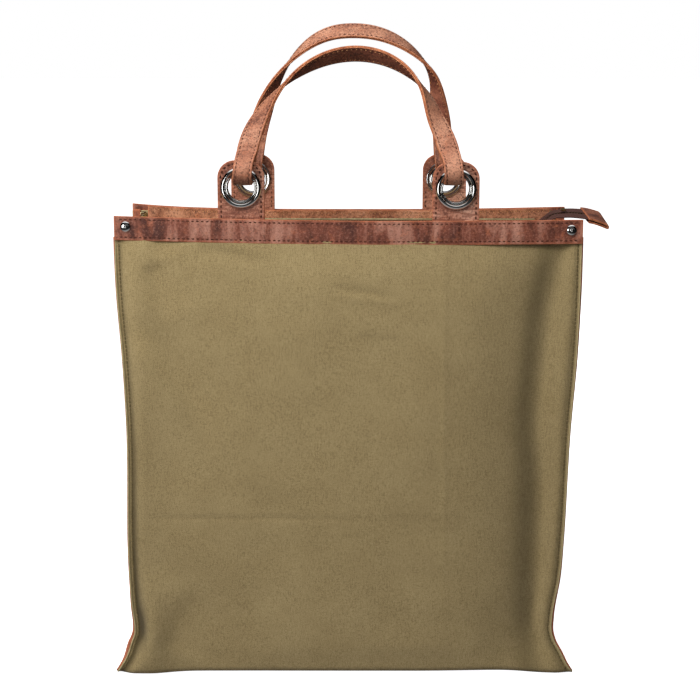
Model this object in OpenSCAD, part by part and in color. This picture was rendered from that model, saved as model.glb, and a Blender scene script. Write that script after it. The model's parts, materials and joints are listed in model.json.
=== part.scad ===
// Upright canvas shopper with leather side gussets, two leather handles on grommets and a closed zip.
// Frame: origin at the middle of the base on the floor, +X right, -Y front, +Z up.
// Lengths are in millimetres and angles in degrees.

/* [Body] */
// Height up to the top edge
bag_h = 420; // [400:1:440]
// Width across the top edge
bag_w = 410; // [395:1:425]
// Distance from the front canvas to the back canvas
bag_d = 113; // [100:1:125]
// Thickness of the canvas
canvas_t = 1.2; // [0.8:0.1:1.5]
// Thickness of the gusset and band leather
leather_t = 1.5; // [1.2:0.1:1.8]
// How far each gusset folds inwards at its middle
gusset_fold = 24; // [10:1:35]
// Width of the raw-edged seam that stands out of each side
seam_w = 8; // [6:0.5:10]

/* [Top band] */
// Height of the leather band
band_h = 20; // [18:1:30]
// Distance of the corner rivets from the sides
rivet_inset = 9.6; // [8:0.1:11]
// Diameter of a rivet's domed cap
rivet_d = 9; // [7:0.5:10]

/* [Tabs and grommets] */
// Width of a handle tab
tab_w = 41; // [38:0.5:46]
// Height of a tab above the top edge
tab_rise = 50.6; // [50:0.1:51]
// Corner radius of a tab
tab_corner_r = 15; // [8:0.5:18]
// Thickness of one of a tab's two layers
tab_t = 1.8; // [1.6:0.1:1.9]
// Height of a grommet's centre above the top edge
grommet_rise = 27; // [26.8:0.1:27.2]
// Radius of a grommet's hole
grommet_bore_r = 11.5; // [11.3:0.1:12]
// Outer radius of a grommet's rim
grommet_rim_r = 18; // [17:0.25:19]
// Distance from the middle to a front grommet
front_grommet_x = 94.1; // [85:0.1:100]
// Distance from the middle to a back grommet
back_grommet_x = 90.6; // [85:0.1:100]

/* [Handles] */
// Width of a handle strap
strap_w = 18; // [15:0.5:18]
// Thickness of the outer strap
strap_t = 1.6; // [1.3:0.1:1.7]
// Thickness of the lining strap
lining_t = 1.3; // [1:0.1:1.4]
// Height of the front handle's top above its pivot
front_handle_rise = 113; // [100:1:118]
// Lean of the front handle towards the middle of the bag
front_handle_lean = 27; // [10:1:27]
// Roll of the front strap at its top, measured from facing out of the bag
front_handle_roll = 108; // [90:1:115]
// Height of the back handle's top above its pivot
back_handle_rise = 122; // [115:1:135]
// Lean of the back handle towards the middle of the bag
back_handle_lean = 5; // [0:1:6]
// Roll of the back strap at its top
back_handle_roll = 128; // [90:1:130]
// Sideways shift of the back handle's top
back_handle_skew = 10; // [0:1:12]

/* [Zip] */
// Distance from the top edge down to the zip's teeth
zip_drop = 6.2; // [6:0.1:8]
// Position of the slider's middle along the bag, with the zip closed
slider_x = -186; // [-188:1:-150]
// Length of the free tail past the end of the facings
tail_l = 44; // [40:1:50]
// Tilt of the tail along its length, front edge down
tail_tilt = 10; // [0:1:11]

/* [Hidden] */
$fn = 64;
gap = 0.05;                                   // clearance between sewn layers
half_w = bag_w / 2;
canvas_y = bag_d / 2 + 0.1;                   // inner face of the front and back canvas
band_y = canvas_y + canvas_t + gap;           // inner face of the outer bands
tab_y = canvas_y - gap;                       // outer face of the tabs' outer layers
tab_mid_y = tab_y - tab_t - gap / 2;
inner_band_y = tab_y - 2 * tab_t - 2 * gap;   // outer face of the inner bands
grommet_z = bag_h + grommet_rise;
barrel_r = grommet_bore_r + 0.95;
tab_hole_r = barrel_r + gap;
washer_t = 1.4;
rivet_z = bag_h - 9;
post_r = 1.5;
gusset_top = bag_h - 15;                      // the gusset's panel ends here; its flanges go on to the top
gusset_fold_z = 200;                          // the fold opens out from nothing at the base to full here
seam_gap = 9;                                 // from a gusset's seam to the end of an inner band
tab_foot = 3;                                 // from a band's lower edge up to the foot of a tab

pivot_rise = 15;                              // the strap loop turns about a point above the hole's centre
pivot_z = grommet_z + pivot_rise;
loop_r = 10.3 + strap_t / 2;                  // middle of the strap on the loop's round part
neck_v = 18;                                  // where the loop's two legs meet
fold_end_v = 28;                              // end of the strap's folded-back part
leg_v = 40;                                   // where the leg becomes the arch
straight_v = 12;                              // below this the leg stands square to its hole
strap_leg_v = 23;                             // where the loop's outer leg joins the lining
leg_roll = 12;                                // roll where the leg becomes the arch
roll_ease = 0.9;
loop_steps = 16;
arch_steps = 36;
strap_gap = 0.15;
layer = lining_t / 2 + strap_gap + strap_t / 2;   // middle of the outer strap from the middle of the lining

teeth_z = bag_h - zip_drop;                   // top of the teeth
teeth_h = 2.4;
teeth_start = -193;
teeth_end = 170;
tooth_pitch = 3;
tooth_spine = 2;                              // the teeth stand out from here towards the middle
stop_l = 1.8;
stop_w = 2.2;
teeth_gap = 0.45;                             // half the slot between the rows for the slider's post
teeth_y = 3;
tape_t = 0.7;
tape_z = teeth_z - 1.6;
tape_in = teeth_y + gap;
tape_out = 22;
tape_start = -196;
facing_start = -190;
facing_in = 14;
facing_t = 1.2;
facing_z = tape_z + tape_t + gap;
pull_z = teeth_z + 3.4;
slider_l = 11;
slider_w = 10;
plate_t = 1.3;
plate_gap = 0.1;                              // play between the slider's plates and the teeth
lug_t = 0.9;
lug_w = 3.2;
lug_in = 2.2;
pin_r = 0.8;
knuckle_r = 1.55;
pull_l = 14;
pull_w = 4;
pull_t = 1.2;
pull_end_r = 2.6;
pull_hole_r = 1.2;
pull_droop = 8;
tail_x = 172;                                 // the tail turns up from here
tail_bend = 18;
tail_rise = 8;
tail_half = 16;
tail_teeth_t = 1.8;
tail_stop_x = 22;
cap_l = 22;
cap_t = 1.5;
cap_slot = 1.1;
cap_droop = 6;

// Offset of the side edge from half the top width, by height: [height, offset]
EDGE = [[0, 6], [42, -13], [62, -9.5], [100, -7.5], [235, -6], [300, -3], [360, 0], [440, 0]];
function edge_x(z) = half_w + lookup(z, EDGE);
EDGE_Z = [0, 42, 62, 100, 235, 300, 360, bag_h];

// ---- helpers ----

// Joins a list of cross-sections into one solid. Each is a closed strip: its points run out along one
// face and back along the other, so opposite pairs of points split its end caps into four-sided pieces.
module skin(sections) {
    m = len(sections[0]);
    n = len(sections);
    // the two faces' squares are split along matching diagonals, so twisted layers lie flat together
    sides = [for (i = [0 : n - 2], j = [0 : m - 1])
        let (a = i * m + j, b = i * m + (j + 1) % m, c = a + m, d = b + m)
        each j < m / 2 ? [[a, b, d], [a, d, c]] : [[a, b, c], [b, d, c]]];
    caps = [for (k = [0 : m / 2 - 2]) let (quad = [k, k + 1, m - 2 - k, m - 1 - k], end = (n - 1) * m)
        each [[quad[3], quad[2], quad[1], quad[0]], [for (q = quad) end + q]]];
    polyhedron([for (s = sections) each s], concat(caps, sides), convexity = 6);
}

function unit(a) = a / norm(a);

// The front half of the bag, or its mirror image at the back
module at_back() { mirror([0, 1, 0]) children(); }

// Lays a flat XY outline upright, its outer face at distance y from the middle, t thick, going inwards
module upright(y, t) { translate([0, -y + t, 0]) rotate([90, 0, 0]) linear_extrude(t) children(); }

// ---- body ----

module canvas_outline() {
    polygon(concat([for (z = EDGE_Z) [edge_x(z), z]],
                   [for (i = [len(EDGE_Z) - 1 : -1 : 0]) [-edge_x(EDGE_Z[i]), EDGE_Z[i]]]));
}

module rivet_hole_pair() {
    for (side = [-1, 1])
        translate([side * (half_w - rivet_inset), 0, rivet_z])
            rotate([90, 0, 0]) cylinder(r = post_r + gap, h = bag_d + 20, center = true);
}

module canvas_panel() {
    color("#87775a") difference() {
        upright(canvas_y + canvas_t, canvas_t) canvas_outline();
        rivet_hole_pair();
    }
}
module canvas_front() canvas_panel();
module canvas_back() at_back() canvas_panel();

module canvas_bottom() {
    color("#776848") translate([-edge_x(0), -canvas_y + gap, 0])
        cube([2 * edge_x(0), 2 * (canvas_y - gap), canvas_t]);
}

// One gusset's cross-section at height z: flanges along the canvas, and a panel folded inwards between
function gusset_section(z) =
    let (x = edge_x(z), root = x - seam_w, tip = root - gusset_fold * min(1, z / gusset_fold_z),
         y0 = canvas_y - gap, y1 = y0 - leather_t, t = leather_t)
    [for (p = [[x, -y0], [root - t, -y0], [tip - t, 0], [root - t, y0], [x, y0],
               [x, y1], [root, y1], [tip, 0], [root, -y1], [x, -y1]]) [p.x, p.y, z]];

module gusset() {
    foot_z = canvas_t + gap;
    flange_y = canvas_y - gap - leather_t;
    levels = [foot_z, 42, 62, 100, gusset_fold_z, 235, 300, 360, gusset_top, bag_h];
    color("#8a5038") difference() {
        union() {
            skin([for (z = levels) gusset_section(z)]);
            // turned-out bottom edge, sewn to the bottom canvas
            translate([edge_x(0) - seam_w - leather_t - 2, -canvas_y + 2 * leather_t, foot_z])
                cube([seam_w + 2, 2 * canvas_y - 4 * leather_t, leather_t]);
        }
        rivet_hole_pair();
        // the panel between the flanges stops below the rivets and the zip
        translate([0, -flange_y, gusset_top]) cube([edge_x(0), 2 * flange_y, bag_h]);
    }
}
module gusset_right() gusset();
module gusset_left() mirror([1, 0, 0]) gusset();

// ---- top band ----

module band_outer() {
    color("#8a5038") difference() {
        upright(band_y + leather_t, leather_t)
            translate([-half_w, bag_h - band_h]) square([bag_w, band_h]);
        rivet_hole_pair();
    }
}
module band_inner() {
    inner_half = half_w - seam_w - seam_gap;
    color("#7a4630") upright(inner_band_y, leather_t)
        translate([-inner_half, bag_h - band_h]) square([2 * inner_half, band_h]);
}
module band_front_outer() band_outer();
module band_front_inner() band_inner();
module band_back_outer() at_back() band_outer();
module band_back_inner() at_back() band_inner();

// A rivet is drawn along +Z from the band's outer face, with its post going down
module rivet_cap() {
    dome_r = 6.2;
    dome_h = 2;
    rim = asin(rivet_d / 2 / dome_r);
    hole_r = post_r + gap;
    color("#c9c9cc") rotate_extrude()
        polygon(concat([[0, dome_h / 2], [hole_r, dome_h / 2], [hole_r, gap], [rivet_d / 2, gap]],
                       [for (i = [0 : 8]) let (a = rim * (1 - i / 8))
                           [dome_r * sin(a), dome_h - dome_r * (1 - cos(a)) + gap]]));
}
module rivet_post() {
    stack = 2 * leather_t + canvas_t + 3 * gap;
    head_t = 1;
    color("#b5b5b8") {
        translate([0, 0, -stack - head_t / 2]) cylinder(r = post_r, h = stack + head_t / 2 + 0.7);
        translate([0, 0, -stack - head_t]) cylinder(r = rivet_d / 2 - 1, h = head_t - gap / 2);
    }
}
module at_rivets() {
    for (side = [-1, 1], turn = [0, 180])
        rotate([0, 0, turn]) translate([side * (half_w - rivet_inset), -band_y - leather_t, rivet_z])
            rotate([90, 0, 0]) children();
}
module rivet_caps() at_rivets() rivet_cap();
module rivet_posts() at_rivets() rivet_post();

// ---- tabs and grommets ----

module tab_outline() {
    top = bag_h + tab_rise;
    difference() {
        union() {
            translate([-tab_w / 2, bag_h - band_h + tab_foot])
                square([tab_w, tab_rise + band_h - tab_foot - tab_corner_r]);
            translate([-tab_w / 2 + tab_corner_r, top - tab_corner_r - 1])
                square([tab_w - 2 * tab_corner_r, tab_corner_r + 1]);
            for (side = [-1, 1])
                translate([side * (tab_w / 2 - tab_corner_r), top - tab_corner_r]) circle(tab_corner_r);
        }
        translate([0, grommet_z]) circle(tab_hole_r);
    }
}
module tab_layer(x, y) { color("#97664f") translate([x, 0, 0]) upright(y, tab_t) tab_outline(); }
module tab_outer(x) tab_layer(x, tab_y);
module tab_inner(x) tab_layer(x, tab_y - tab_t - gap);

module tab_front_left_outer() tab_outer(-front_grommet_x);
module tab_front_left_inner() tab_inner(-front_grommet_x);
module tab_front_right_outer() tab_outer(front_grommet_x);
module tab_front_right_inner() tab_inner(front_grommet_x);
module tab_back_left_outer() at_back() tab_outer(-back_grommet_x);
module tab_back_left_inner() at_back() tab_inner(-back_grommet_x);
module tab_back_right_outer() at_back() tab_outer(back_grommet_x);
module tab_back_right_inner() at_back() tab_inner(back_grommet_x);

// An eyelet is drawn along +Z from the tab's outer face: domed rim, barrel, rolled end behind the washer
washer_top = -2 * tab_t - 2 * gap;
roll_top = washer_top - washer_t - gap;
module eyelet() {
    rim_mid = (grommet_bore_r + grommet_rim_r) / 2;
    rim_half = (grommet_rim_r - grommet_bore_r) / 2;
    rim_h = 3;
    roll_r = grommet_bore_r + 2.7;
    color("#cfcfd2") rotate_extrude($fn = 96)
        polygon(concat([for (a = [0 : 15 : 180]) [rim_mid + rim_half * cos(a), gap / 2 + rim_h * sin(a)]],
                       [[grommet_bore_r, roll_top - 1], [roll_r, roll_top - 1], [roll_r, roll_top],
                        [barrel_r, roll_top], [barrel_r, gap / 2]]));
}
module washer() {
    color("#b9b9bc") translate([0, 0, washer_top - washer_t]) difference() {
        cylinder(r = grommet_rim_r - 0.8, h = washer_t);
        translate([0, 0, -1]) cylinder(r = tab_hole_r, h = washer_t + 2);
    }
}
module at_grommet(x) { translate([x, -tab_y, grommet_z]) rotate([90, 0, 0]) children(); }

module grommet_front_left() at_grommet(-front_grommet_x) eyelet();
module grommet_front_right() at_grommet(front_grommet_x) eyelet();
module grommet_back_left() at_back() at_grommet(-back_grommet_x) eyelet();
module grommet_back_right() at_back() at_grommet(back_grommet_x) eyelet();
module washer_front_left() at_grommet(-front_grommet_x) washer();
module washer_front_right() at_grommet(front_grommet_x) washer();
module washer_back_left() at_back() at_grommet(-back_grommet_x) washer();
module washer_back_right() at_back() at_grommet(back_grommet_x) washer();

// ---- handles ----
// A handle is drawn about its pivot: X along the bag, -Y out of the bag, Z up the handle's own plane.
// shape = [grommet distance, rise, roll at the top, skew, fullness]; fullness 1 is an ellipse.

function span(s) = s[0];
function rise(s) = s[1];
function roll(s) = s[2];
function skew(s) = s[3];
function fullness(s) = s[4];

function arch_h(s) = rise(s) + pivot_rise;
function arch(s, u) = [-span(s) * sign(cos(u)) * pow(abs(cos(u)), fullness(s)) + skew(s) * pow(sin(u), 2),
                       0, arch_h(s) * pow(sin(u), fullness(s)) - pivot_rise];
function arch_start(s) = asin(pow((leg_v + pivot_rise) / arch_h(s), 1 / fullness(s)));
function arch_dir(s, u) = unit(arch(s, u + 0.5) - arch(s, u - 0.5));

// The leg's distance from the middle at height v: straight through the hole, then easing into the arch
function leg_x(s, side, v) =
    let (v0 = straight_v, u = side < 0 ? arch_start(s) : 180 - arch_start(s),
         end = arch(s, u), d = arch_dir(s, u), slope = d.x / d.z * (leg_v - v0), k = max(0, (v - v0) / (leg_v - v0)))
    side * span(s) * (2 * pow(k, 3) - 3 * pow(k, 2) + 1) + end.x * (3 * pow(k, 2) - 2 * pow(k, 3))
    + slope * (pow(k, 3) - pow(k, 2));

// A strap's cross-section: centre c, width direction w, outward direction n, offset by n * away
function strap_section(c, w, n, away, t) =
    let (m = c + n * away, a = w * strap_w / 2, b = n * t / 2) [m + a + b, m - a + b, m - a - b, m + a - b];

// Cross-section of the arch at parameter u
function arch_section(s, u, away, t) =
    let (d = arch_dir(s, u), out = [-d.z, 0, d.x],
         low = sin(arch_start(s)),
         angle = leg_roll + (roll(s) - leg_roll) * pow(max(0, sin(u) - low) / (1 - low), roll_ease),
         n = [0, -cos(angle), 0] + out * sin(angle))
    strap_section(arch(s, u), cross(d, n), n, away, t);

// Cross-section of a leg at height v, side -1 left or 1 right
function leg_section(s, side, v, away, t) =
    let (d = unit([leg_x(s, side, v + 0.5) - leg_x(s, side, v - 0.5), 0, 1]),
         angle = leg_roll * max(0, (v - fold_end_v) / (leg_v - fold_end_v)),
         n = [side * sin(angle) * d.z, -cos(angle), -side * sin(angle) * d.x])
    strap_section([leg_x(s, side, v), 0, v], -side * cross(d, n), n, away, t);

// The loop round the tab: folded-back end, one side, round part, other side
neck_angle = atan2(neck_v, layer) - acos(loop_r / norm([layer, neck_v]));
function loop_section(s, side, p, n) =
    strap_section([leg_x(s, side, p.y), -p.x, p.y], [-side, 0, 0], [0, -n.x, n.y], 0, strap_t);
function loop_sections(s, side) =
    let (bend = (90 - neck_angle) / 2)
    concat([loop_section(s, side, [-layer, fold_end_v], [-1, 0]),
            loop_section(s, side, [-layer, neck_v], [-cos(neck_angle / 2), sin(neck_angle / 2)])],
           [for (i = [0 : loop_steps]) let (a = 180 - neck_angle + i * (180 + 2 * neck_angle) / loop_steps)
               loop_section(s, side, loop_r * [cos(a), sin(a)], [cos(a), sin(a)])],
           [loop_section(s, side, [layer, neck_v], [cos(neck_angle / 2), sin(neck_angle / 2)])]);

function reversed(list) = [for (i = [len(list) - 1 : -1 : 0]) list[i]];
function arch_sections(s, away, t) =
    let (u0 = arch_start(s), step = (180 - 2 * u0) / arch_steps)
    [for (i = [0 : arch_steps]) arch_section(s, u0 + i * step, away, t)];
function leg_sections(s, side, from, away, t) =
    [for (v = [from, fold_end_v, 32, 36]) leg_section(s, side, v, away, t)];

module strap(s) {
    color("#a56f5b") skin(concat(
        loop_sections(s, -1), leg_sections(s, -1, strap_leg_v, layer, strap_t),
        arch_sections(s, layer, strap_t),
        reversed(leg_sections(s, 1, strap_leg_v, layer, strap_t)), reversed(loop_sections(s, 1))));
}
module lining(s) {
    color("#8a5038") skin(concat(
        leg_sections(s, -1, neck_v + 1, 0, lining_t), arch_sections(s, 0, lining_t),
        reversed(leg_sections(s, 1, neck_v + 1, 0, lining_t))));
}
module at_pivot(lean) { translate([0, -tab_mid_y, pivot_z]) rotate([-lean, 0, 0]) children(); }

front_shape = [front_grommet_x, front_handle_rise, front_handle_roll, 1, 1];
back_shape = [back_grommet_x, back_handle_rise, back_handle_roll, back_handle_skew, 0.84];
module handle_front_strap() at_pivot(front_handle_lean) strap(front_shape);
module handle_front_lining() at_pivot(front_handle_lean) lining(front_shape);
module handle_back_strap() at_back() at_pivot(back_handle_lean) strap(back_shape);
module handle_back_lining() at_back() at_pivot(back_handle_lean) lining(back_shape);

// ---- zip ----

module zip_strip(x0, x1, y0, y1, z, t) { translate([x0, y0, z]) cube([x1 - x0, y1 - y0, t]); }

module facing() {
    color("#87775a")
        zip_strip(facing_start, tail_x, -inner_band_y + leather_t + gap, -facing_in, facing_z, facing_t);
}
module tape() { color("#4a3a2c") zip_strip(tape_start, tail_x, -tape_out, -tape_in, tape_z, tape_t); }
module zip_facing_front() facing();
module zip_facing_back() at_back() facing();
module zip_tape_front() tape();
module zip_tape_back() at_back() tape();

// One row of teeth as a comb: a spine along the tape, with a tooth every pitch
module teeth_row(from, to, shift) {
    color("#a98a4a") translate([0, 0, teeth_z - teeth_h]) linear_extrude(teeth_h)
        polygon(concat([[from, -teeth_y]],
            [for (x = [from : tooth_pitch : to - tooth_pitch]) let (a = x + shift) each
                [[a + 0.3, -tooth_spine], [a + 0.6, -teeth_gap],
                 [a + 1.3, -teeth_gap], [a + 1.6, -tooth_spine]]],
            [[to, -tooth_spine], [to, -teeth_y]]));
}
module zip_teeth_front() teeth_row(teeth_start, teeth_end, 0);
module zip_teeth_back() at_back() teeth_row(teeth_start, teeth_end, tooth_pitch / 2);

module zip_top_stops() {
    color("#a98a4a") for (side = [-1, 1])
        translate([teeth_start - stop_w, side > 0 ? 0.6 : -0.6 - stop_w, teeth_z - teeth_h])
            cube([stop_l, stop_w, teeth_h]);
}

module zip_slider() {
    top = teeth_z + plate_gap;
    bottom = teeth_z - teeth_h - plate_gap - plate_t;
    nose = slider_w / 2 - 1.6;
    post_half = teeth_gap - 0.1;
    color("#c7a86a") translate([slider_x, 0, 0]) {
        for (z = [bottom, top]) translate([0, 0, z]) linear_extrude(plate_t)
            polygon([[-slider_l / 2, -nose], [-1, -slider_w / 2], [slider_l / 2, -slider_w / 2],
                     [slider_l / 2, slider_w / 2], [-1, slider_w / 2], [-slider_l / 2, nose]]);
        translate([-2.5, -post_half, bottom]) cube([5, 2 * post_half, top - bottom + plate_t]);
        for (side = [-1, 1]) translate([-lug_w / 2, side > 0 ? lug_in : -lug_in - lug_t, top])
            cube([lug_w, lug_t, pull_z - top + 1.2]);
        translate([0, 0, pull_z]) rotate([90, 0, 0]) cylinder(r = pin_r, h = 2 * lug_in + 1, center = true);
    }
}

module zip_puller() {
    color("#d8bd85") translate([slider_x, 0, pull_z]) rotate([0, -pull_droop, 0]) difference() {
        union() {
            rotate([90, 0, 0]) cylinder(r = knuckle_r, h = 2 * lug_in - 0.2, center = true);
            translate([-pull_l, 0, -pull_t / 2]) linear_extrude(pull_t) difference() {
                union() {
                    translate([0, -pull_w / 2]) square([pull_l - knuckle_r / 2, pull_w]);
                    circle(pull_end_r, $fn = 48);
                }
                circle(pull_hole_r, $fn = 48);
            }
        }
        rotate([90, 0, 0]) cylinder(r = pin_r + gap, h = 2 * slider_w, center = true);
    }
}

// The free tail: tapes and teeth run up to the edge and out past the right side
module at_tail() {
    translate([0, 0, bag_h + 2]) rotate([tail_tilt, 0, 0]) translate([0, 0, -bag_h - 2]) children();
}
module tail_strip(y0, y1, z0, t) {
    bend_x = tail_x + tail_bend;
    out_x = tail_x + tail_l;
    translate([0, y1, z0 + teeth_z]) rotate([90, 0, 0]) linear_extrude(y1 - y0)
        polygon([[tail_x + 1.5, 0], [bend_x, tail_rise], [out_x, tail_rise + 1],
                 [out_x, tail_rise + 1 + t], [bend_x - 0.4, tail_rise + t], [tail_x + 1, t]]);
}
module zip_tail_tapes() {
    color("#4a3226") at_tail() for (side = [0, 1])
        mirror([0, side, 0]) tail_strip(-tail_half, -tape_in, -tape_t / 2, tape_t);
}
module zip_tail_teeth() {
    color("#a98a4a") at_tail() for (side = [0, 1])
        mirror([0, side, 0]) tail_strip(-teeth_y, -teeth_gap, -tail_teeth_t / 2, tail_teeth_t);
}
module zip_tail_stop() {
    half = teeth_y + 0.6;
    color("#c7a86a") at_tail()
        translate([tail_x + tail_stop_x, -half, teeth_z + tail_rise + 1.4]) cube([4, 2 * half, 1]);
}
module zip_tail_cap() {
    half = tail_half + 1.5;
    color("#a5694c") at_tail()
        translate([tail_x + tail_l - cap_t, 0, teeth_z + tail_rise + 1]) rotate([0, cap_droop, 0])
            difference() {
                translate([0, -half, -cap_t - cap_slot]) cube([cap_l, 2 * half, 2 * (cap_t + cap_slot)]);
                translate([-1, -half - 1, -cap_slot]) cube([cap_l - 1, 2 * half + 2, 2 * cap_slot]);
            }
}

canvas_front();
canvas_back();
canvas_bottom();
gusset_left();
gusset_right();
band_front_outer();
band_front_inner();
band_back_outer();
band_back_inner();
tab_front_left_outer();
tab_front_left_inner();
tab_front_right_outer();
tab_front_right_inner();
tab_back_left_outer();
tab_back_left_inner();
tab_back_right_outer();
tab_back_right_inner();
grommet_front_left();
grommet_front_right();
grommet_back_left();
grommet_back_right();
washer_front_left();
washer_front_right();
washer_back_left();
washer_back_right();
rivet_caps();
rivet_posts();
handle_front_strap();
handle_front_lining();
handle_back_strap();
handle_back_lining();
zip_facing_front();
zip_facing_back();
zip_tape_front();
zip_tape_back();
zip_teeth_front();
zip_teeth_back();
zip_top_stops();
zip_slider();
zip_puller();
zip_tail_tapes();
zip_tail_teeth();
zip_tail_stop();
zip_tail_cap();
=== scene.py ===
# Looks for an upright canvas shopper: olive canvas, waxed brown leather, nickel grommets and a brass zip.
#
# Shapes are worked out in millimetres in the CAD part's own frame (origin at the middle of the base,
# -Y front, +Z up) and become metres when a mesh is made. The canvas, gussets, bands, tabs and straps are
# grids of points moved by formulas, and each carries its own threads.

import json
import math

import bpy
import numpy as np
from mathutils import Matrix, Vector


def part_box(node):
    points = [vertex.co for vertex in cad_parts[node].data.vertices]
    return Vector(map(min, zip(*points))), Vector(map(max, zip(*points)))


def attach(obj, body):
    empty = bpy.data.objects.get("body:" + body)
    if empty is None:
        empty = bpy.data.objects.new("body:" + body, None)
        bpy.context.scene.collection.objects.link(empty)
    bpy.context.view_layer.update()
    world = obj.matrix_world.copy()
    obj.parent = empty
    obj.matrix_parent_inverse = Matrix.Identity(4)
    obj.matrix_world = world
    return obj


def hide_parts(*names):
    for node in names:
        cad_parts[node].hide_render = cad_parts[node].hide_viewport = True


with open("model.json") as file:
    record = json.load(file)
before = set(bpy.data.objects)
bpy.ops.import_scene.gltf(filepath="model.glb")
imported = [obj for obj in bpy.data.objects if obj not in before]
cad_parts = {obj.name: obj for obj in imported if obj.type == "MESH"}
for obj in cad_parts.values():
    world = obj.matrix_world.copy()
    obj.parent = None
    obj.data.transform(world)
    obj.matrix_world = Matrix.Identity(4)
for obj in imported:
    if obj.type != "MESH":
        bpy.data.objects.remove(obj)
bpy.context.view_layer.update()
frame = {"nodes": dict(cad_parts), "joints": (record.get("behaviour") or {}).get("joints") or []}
MM = 0.001


def box_mm(node):
    low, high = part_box(node)
    return np.array(low) / MM, np.array(high) / MM


def grommet_x(where):
    return np.mean(box_mm("grommet_" + where), axis=0)[0]


# ---- driving sizes, from the CAD part; OUT and IN are distances from the middle plane ----
canvas_low, canvas_high = box_mm("canvas_front")
band_low, band_high = box_mm("band_front_outer")
inner_band_low, inner_band_high = box_mm("band_front_inner")
tab_low, tab_high = box_mm("tab_front_left_outer")
ring_low, ring_high = box_mm("grommet_front_left")
washer_low, washer_high = box_mm("washer_front_left")
teeth_low, teeth_high = box_mm("zip_teeth_front")

TOP = canvas_high[2]
CANVAS_OUT, CANVAS_IN = -canvas_low[1], -canvas_high[1]
CANVAS_T = CANVAS_OUT - CANVAS_IN
BASE_HALF = box_mm("canvas_bottom")[1][0]
HALF_W = band_high[0]
BAND_OUT = -band_low[1]
BAND_T = BAND_OUT + band_high[1]
BAND_H = TOP - band_low[2]
INNER_BAND_OUT = -inner_band_low[1]
INNER_BAND_HALF = inner_band_high[0]
TAB_TOP = tab_high[2]
TAB_W = tab_high[0] - tab_low[0]
TAB_OUT = -tab_low[1]
TAB_IN = -box_mm("tab_front_left_inner")[1][1]
RIM_R = (ring_high[0] - ring_low[0]) / 2
RIM_OUT, ROLL_IN = -ring_low[1], -ring_high[1]
GROMMET_Z = (ring_low[2] + ring_high[2]) / 2
WASHER_OUT, WASHER_IN = -washer_low[1], -washer_high[1]
ZIP_START, ZIP_END, ZIP_Z = teeth_low[0], teeth_high[0], teeth_high[2]
GUSSET_TOP = TOP - 15
GUSSET_GAP = 1.6
PIVOT = {j["name"]: np.array(j["pos_m"]) / MM for j in frame["joints"] if j["type"] == "hinge"}


# ---- small maths ----

def smooth(x):
    x = np.clip(x, 0, 1)
    return x * x * (3 - 2 * x)


def hump(x, width):
    return np.exp(-(x / width) ** 2)


def unit(v):
    return v / np.maximum(np.linalg.norm(v, axis=-1, keepdims=True), 1e-9)


def spread(*parts):
    """Points from their coordinates, where a coordinate may be the same along a whole row or column."""
    return np.stack(np.broadcast_arrays(*parts), -1)


def run_length(points):
    """How far along a line each of its points lies."""
    return np.concatenate([[0], np.cumsum(np.linalg.norm(np.diff(points, axis=0), axis=1))])


def read_at(s, run, values):
    """Values given along a line, read at the distances s."""
    return np.stack([np.interp(s, run, column) for column in values.T], -1)


def eased(points):
    """A smooth curve through a few (position, value) points, as a function."""
    p, v = (np.array(c, float) for c in zip(*points))
    slope = np.gradient(v, p)

    def value(x):
        x = np.clip(x, p[0], p[-1])
        i = np.clip(np.searchsorted(p, x, side="right") - 1, 0, len(p) - 2)
        h = p[i + 1] - p[i]
        t = (x - p[i]) / h
        return ((2 * t**3 - 3 * t**2 + 1) * v[i] + (t**3 - 2 * t**2 + t) * h * slope[i]
                + (3 * t**2 - 2 * t**3) * v[i + 1] + (t**3 - t**2) * h * slope[i + 1])
    return value


def wobble(x, y, seed, scale):
    """Smooth, repeatable unevenness between about -1 and 1, from a few sine waves."""
    rng = np.random.default_rng(seed)
    total = 0
    for _ in range(6):
        a, b = rng.uniform(-1, 1, 2) * 2 * math.pi / scale
        total = total + np.sin(a * x + b * y + rng.uniform(0, 2 * math.pi))
    return total / 3.5


# ---- meshes ----
# A part is a tuple: points, faces, each face's material number, each point's edge value (rubbed wear on
# leather, a painted highlight on canvas), each point's uv.

def outward(points, faces):
    """The same faces, turned so that a closed solid's faces look outwards."""
    p = np.asarray(points)
    total = 0.0
    for size in {len(f) for f in faces}:
        group = np.array([f for f in faces if len(f) == size])
        for k in range(1, size - 1):
            total += np.sum(p[group[:, 0]] * np.cross(p[group[:, k]], p[group[:, k + 1]]))
    turn = 1 if total > 0 else -1
    return [[int(i) for i in f][::turn] for f in faces]


def make_object(name, points, faces, materials, face_material=None, uv=None, wear_and_edge_highlight=None,
                painted_shade=None, flat=False):
    """A mesh from points in mm, with its materials and the values its materials read."""
    mesh = bpy.data.meshes.new(name)
    mesh.from_pydata((np.asarray(points) * MM).tolist(), [], [list(map(int, f)) for f in faces])
    for material in materials:
        mesh.materials.append(MATERIAL[material])
    if face_material is not None:
        mesh.polygons.foreach_set("material_index", np.asarray(face_material, np.int32))
    mesh.polygons.foreach_set("use_smooth", np.full(len(mesh.polygons), not flat))
    if uv is not None:
        layer = mesh.uv_layers.new(name="cloth")
        loops = np.zeros(len(mesh.loops), np.int32)
        mesh.loops.foreach_get("vertex_index", loops)
        layer.data.foreach_set("uv", (np.asarray(uv) * MM)[loops].astype(np.float32).ravel())
    # the values each point carries: rubbed wear on leather with a painted highlight along canvas edges, and
    # painted shade on the canvas
    for key, values in (("wear_and_edge_highlight", wear_and_edge_highlight), ("painted_shade", painted_shade)):
        if values is not None:
            attribute = mesh.attributes.new(key, "FLOAT", "POINT")
            attribute.data.foreach_set("value", np.asarray(values, np.float32))
    mesh.update()
    made = bpy.data.objects.new(name, mesh)
    bpy.context.scene.collection.objects.link(made)
    return made


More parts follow.
